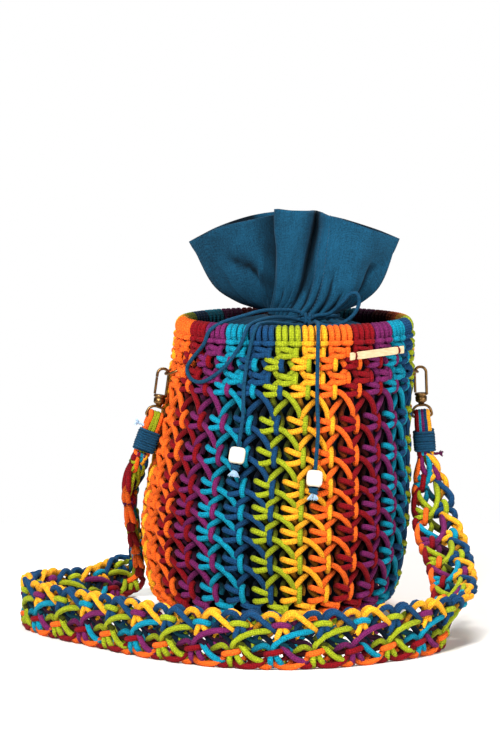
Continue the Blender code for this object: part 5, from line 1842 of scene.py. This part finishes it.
@dataclass
class KnottedStrap(SweptAssembly):
    """The shoulder strap: a narrow net of seven cords, folded over both D loops.

    Attributes:
        left: Places of the left fittings.
        right: Places of the right fittings.
        radius: Radius of the cord.
        pitch: Length of one repeat; it is fitted to the strap's length.
        start_drop: Distance below each bar at which the net begins.
        fine: Steps used to read the centre line.
        face_shifts: Place of the front's and of the back's repeats, in repeats.
        open_ends: Number of repeats at the left and right end that hang open.
        lit_out: Distance out, in millimetres, at which a cord gets no painted shade.
        dim_over: Distance further in over which the painted shade deepens to its greatest.
        loss: Greatest loss of light to painted shade.
        fold_dim: Share of that painted shade on the folds over the bars.
    """

    left: FittingFrame
    right: FittingFrame
    radius: float = 0.0024
    pitch: float = 0.0326
    start_drop: float = 0.033
    fine: int = 1400
    face_shifts: tuple[float, float] = (0.46, 0.96)
    open_ends: tuple[int, int] = (4, 6)
    lit_out: float = 2.2
    dim_over: float = 2.6
    loss: float = 0.88
    fold_dim: float = 0.15
    lines: dict = field(default_factory=by_colour)

    def __post_init__(self) -> None:
        ends = [end.at(self.start_drop, spread=-LEG_SPREAD) for end in (self.left, self.right)]
        places = [ends[0], *(Vector(row[:3]) for row in STRAP_PATH), ends[1]]
        widths = [self.left.bar, *(Vector(row[3:6]).normalized() for row in STRAP_PATH), self.right.bar]
        for index in range(1, len(widths)):
            if widths[index].dot(widths[index - 1]) < 0:
                widths[index] = widths[index] * -1.0
        halves = [FOLD_HALF_WIDTH, *(row[6] for row in STRAP_PATH), FOLD_HALF_WIDTH]
        halves = [Vector((half, 0.0, 0.0)) for half in halves]
        places, widths, halves = (smooth_line(rows, self.fine + 1) for rows in (places, widths, halves))
        self.reach = reaches(places)
        self.dense = list(zip(places, widths, (half.x for half in halves)))

    def point(self, along: float, across: float, out: float) -> Vector:
        """Find a point on or near the strap.

        Args:
            along: Distance along its centre line.
            across: Place across it, from -1 to 1.
            out: Distance from its middle surface.

        Returns:
            The point.
        """
        along = limit(along, 0.0, self.reach[-1])
        low = min(max(bisect_right(self.reach, along) - 1, 0), self.fine - 1)
        share = (along - self.reach[low]) / max(self.reach[low + 1] - self.reach[low], 1e-9)
        (place, width, half), (next_place, next_width, next_half) = self.dense[low : low + 2]
        way = (self.dense[min(low + 6, self.fine)][0] - self.dense[max(low - 6, 0)][0]).normalized()
        width = width.lerp(next_width, share)
        width = (width - way * width.dot(way)).normalized()
        half += (next_half - half) * share
        squeeze = min(1.0, half / 0.014)
        rim = half - self.radius * 0.6
        return place.lerp(next_place, share) - width * rim * across + width.cross(way) * out * squeeze

    def cord(self, start: float, table: tuple, colour: CordColour, side: float, rng: Random, steps: int) -> None:
        """Add one stretch of cord.

        Args:
            start: Where the repeat begins along the strap.
            table: Places of the stretch within the repeat.
            colour: Its colour.
            side: Which face it is on, 1 or -1.
            rng: Random source.
            steps: Points along it.
        """
        sway, lift = rng.uniform(-0.025, 0.025), rng.uniform(-0.03, 0.03)
        points = []
        for along, across, out in table:
            place, outward = start + (along + sway) * self.pitch, side * (out * 0.001 + rng.uniform(-2e-4, 2e-4))
            spot = self.point(place, limit(across + lift, -1.0), outward)
            spot.z = max(spot.z, self.radius + 0.0001)
            # The fourth value is the point's painted shade: the further in, the darker
            points.append(Vector((*spot, limit((self.lit_out - out) / self.dim_over))))
        self.lines[colour].append(smooth_line(points, steps))

    def repeat(self, index: int, start: float, side: float, rng: Random, filled: bool) -> None:
        """Knot one repeat on one face.

        Args:
            index: Number of the repeat.
            start: Where it begins along the strap.
            side: Which face, 1 or -1.
            rng: Random source.
            filled: Whether the middle's own strands are laid in too.
        """
        turn, pair = index % 2, index // 2
        lime = CordColour.LIME
        colours = {
            "edge": EDGE_COLOURS[turn], "other_edge": EDGE_COLOURS[1 - turn],
            "low": LOW_COLOURS[turn], "other_low": LOW_COLOURS[1 - turn],
            "inner": MIXED_COLOURS[pair % 2] if turn else lime, "down": MIXED_COLOURS[(pair + 1) % 2] if turn else lime,
            "next_inner": lime if turn else MIXED_COLOURS[(index + 1) // 2 % 2],
            "upper_bar": UPPER_COLOURS[index % 4], "lower_bar": LOW_COLOURS[turn],
        }
        for key, table in STRAP_STRANDS:
            self.cord(start, table, colours[key], side, rng, 8 if key in BAR_KEYS or len(table) < 5 else 12)
        if filled:
            middle = (MIXED_COLOURS[turn], CordColour.DENIM, CordColour.DARK_RED, CordColour.DENIM)
            for table, colour in zip(MIDDLE_STRANDS, middle):
                self.cord(start, table, colour, side, rng, 11)

    def build(self) -> None:
        """Knot the strap and fold its ends over the D loops."""
        rng = Random(12)
        count = round(self.reach[-1] / self.pitch)
        self.pitch = self.reach[-1] / count
        front, back = self.face_shifts
        for index in range(-1, count):
            hanging = index < self.open_ends[0] or index >= count - self.open_ends[1]
            for side, shift in ((1.0, front), (-1.0, front if hanging else back)):
                self.repeat(index + 2, (index + shift) * self.pitch, side, rng, filled=side > 0 and not hanging)
        for end in (self.left, self.right):
            cords = end.setting.cords
            for place, colour in enumerate(cords):
                beside = (place / (len(cords) - 1) - 0.5) * 2.0 * (FOLD_HALF_WIDTH - 0.001)
                line = smooth_line(end.fold(beside, rng.uniform(0.0, 0.0004)), 40)
                # The folds over the bars get a little painted shade
                self.lines[colour].append([Vector((*spot, self.fold_dim)) for spot in line])
        for colour in CordColour:
            # Painted shade of every point, line by line
            painted_shade = [[self.loss * spot.w for spot in line] for line in self.lines[colour]]
            attach(self.sweeper.sweep(
                f"strap_{colour.name.lower()}", self.lines[colour], self.radius, self.finishes.net[colour], sides=8,
                taper=0.8, painted_shade=painted_shade,
            ), "knotted_cord", "knotted_strap")
        LOG.info("strap centre line %.3f m, %d repeats", self.reach[-1], count)


# ---- wooden tag


@dataclass
class WoodenTag(SweptAssembly):
    """The small bare bar tied to the net.

    Attributes:
        size: Length, thickness and height.
        standoff: Distance of its middle from the wall's middle.
        tilt: Its slope in degrees.
        notch: Distance of the notches from the ends, their half width and depth as a share of the height.
        tie: Half height and half depth of a tie, its middle's distance in from the bar's, its thread's radius.
    """

    size: tuple[float, float, float] = (0.06, 0.0016, 0.0062)
    standoff: float = 0.0072
    tilt: float = 2.0
    notch: tuple[float, float, float] = (0.0058, 0.0022, 0.42)
    tie: tuple[float, float, float, float] = (0.003, 0.0032, 0.0018, 0.00045)

    def bar(self, centre: Vector, along: Vector, over: Vector, outward: Vector) -> None:
        """Cut the bar.

        Args:
            centre: Its middle.
            along: Direction of its length.
            over: Direction of its height.
            outward: Direction of its thickness.
        """
        length, thick, tall = self.size
        from_end, wide, deep = self.notch
        half = []
        for step in range(49):
            spot = (step / 48 - 0.5) * length
            notch = max(0.0, 1.0 - abs(abs(spot) - 0.5 * length + from_end) / wide)
            half.append((spot, 0.5 * tall * (1.0 - deep * notch)))
        outline = half + [(spot, -high) for spot, high in reversed(half)]
        shape = bmesh.new()
        back, front = (
            [
                shape.verts.new(centre + along * spot + over * high + outward * 0.5 * thick * sign)
                for spot, high in outline
            ]
            for sign in (-1.0, 1.0)
        )
        shape.faces.new(back)
        shape.faces.new(front[::-1])
        for index in range(len(outline)):
            after = (index + 1) % len(outline)
            shape.faces.new((back[index], back[after], front[after], front[index]))
        bmesh.ops.recalc_face_normals(shape, faces=shape.faces)
        sharp = [edge for edge in shape.edges if edge.calc_face_angle(0.0) > 1.0]
        bmesh.ops.bevel(shape, geom=sharp, offset=0.0003, segments=2, affect="EDGES", profile=0.5)
        mesh = bpy.data.meshes.new("tag_bar")
        shape.to_mesh(mesh)
        shape.free()
        attach(link_mesh(mesh, self.finishes.wood), "pale_wood", "wooden_tag")

    def build(self) -> None:
        """Hang the bar and tie it on with two threads."""
        centre = wall_point(TAG_AZIMUTH, TAG_HEIGHT, self.standoff)
        outward, level = compass(radians(TAG_AZIMUTH))
        tilt = radians(self.tilt)
        along = level * cos(tilt) + Vector((0.0, 0.0, 1.0)) * sin(tilt)
        over = outward.cross(along) * -1.0
        self.bar(centre, along, over, outward)
        high, deep, inset, radius = self.tie
        ties = []
        for end in (-1.0, 1.0):
            for shift in (-0.0004, 0.0005):
                middle = centre + along * (end * (0.5 * self.size[0] - self.notch[0]) + shift) - outward * inset
                ties.append(ring_points(middle, over * high + along * 0.0003 * end, outward * deep, 1.0, 20))
        finish = self.finishes.net[CordColour.DARK_RED]
        attach(self.sweeper.sweep("tag_ties", ties, radius, finish, sides=6, closed=True), "knotted_cord")


# ---- stage


# Area lights: name, place, size in metres, power in watts
LIGHTS = (
    ("key_light", (-0.8, -1.8, 1.8), 0.7, 94.0), ("fill_light", (1.8, -1.6, 0.9), 1.2, 34.0),
    ("top_light", (0.2, 0.7, 2.1), 0.9, 40.0),
)
LIT_HEIGHT = 0.15
# The photograph's camera: place, angle down in degrees, focal length and picture height in pixels, sensor in mm
EYE_PLACE, EYE_DOWN, FOCAL_PIXELS, PICTURE_PIXELS, SENSOR = (-0.0193, -3.0, 0.5075), 5.85, 3571.0, 750.0, 36.0
# Floor's half width, back and front edge
FLOOR = (6.0, 0.5, -4.0)
# Light from the surroundings on the bag, and what the camera sees of it besides
WORLD_LIGHT, WORLD_SEEN = 0.2, 0.8


def build_stage() -> None:
    """Set up the floor, the light and the camera at the photograph's angle."""
    scene = bpy.context.scene
    wide, back, front = FLOOR
    corners = [(-wide, front, 0.0), (wide, front, 0.0), (wide, back, 0.0), (-wide, back, 0.0)]
    # Floor: a plain pale matt sheet that the shadows fall on softly
    link_mesh(new_mesh("floor", corners, [(0, 1, 2, 3)]), PlainFinish("pale_floor", "F4F2EE", 0.9).make())
    world = bpy.data.worlds.new("soft_studio")
    world.use_nodes = True
    tree, sky = world.node_tree, world.node_tree.nodes["Background"].inputs
    seen = add_node(tree, "ShaderNodeLightPath").outputs["Is Camera Ray"]
    tree.links.new(weigh(tree, WORLD_LIGHT, (seen, WORLD_SEEN)), sky["Strength"])
    sky["Color"].default_value = (1.0, 1.0, 1.0, 1.0)
    scene.world = world
    for name, place, size, power in LIGHTS:
        light = bpy.data.lights.new(name, "AREA")
        light.size, light.energy = size, power
        lamp = bpy.data.objects.new(name, light)
        lamp.location = place
        lamp.rotation_euler = (Vector((0.0, 0.0, LIT_HEIGHT)) - Vector(place)).to_track_quat("-Z", "Y").to_euler()
        scene.collection.objects.link(lamp)
    camera = bpy.data.cameras.new("photo_camera")
    camera.sensor_fit, camera.sensor_width, camera.lens = "AUTO", SENSOR, FOCAL_PIXELS / PICTURE_PIXELS * SENSOR
    eye = bpy.data.objects.new("photo_camera", camera)
    eye.location = EYE_PLACE
    eye.rotation_euler = (radians(90.0 - EYE_DOWN), 0.0, 0.0)
    scene.collection.objects.link(eye)
    scene.camera = eye
    scene.view_settings.view_transform = "Standard"
    scene.view_settings.look = "None"


def main() -> None:
    """Build the dressed bag."""
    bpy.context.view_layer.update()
    finishes, sweeper = Finishes(), Sweeper()
    build_stage()
    Drawcord(sweeper, finishes).build()
    DrawstringPouch(finishes).build()
    KnottedNet(sweeper, finishes).build()
    left, right = (FittingFrame(setting) for setting in SETTINGS)
    for place in (left, right):
        Fittings(sweeper, finishes, place).build()
    KnottedStrap(sweeper, finishes, left, right).build()
    WoodenTag(sweeper, finishes).build()


if __name__ == "__main__":
    main()
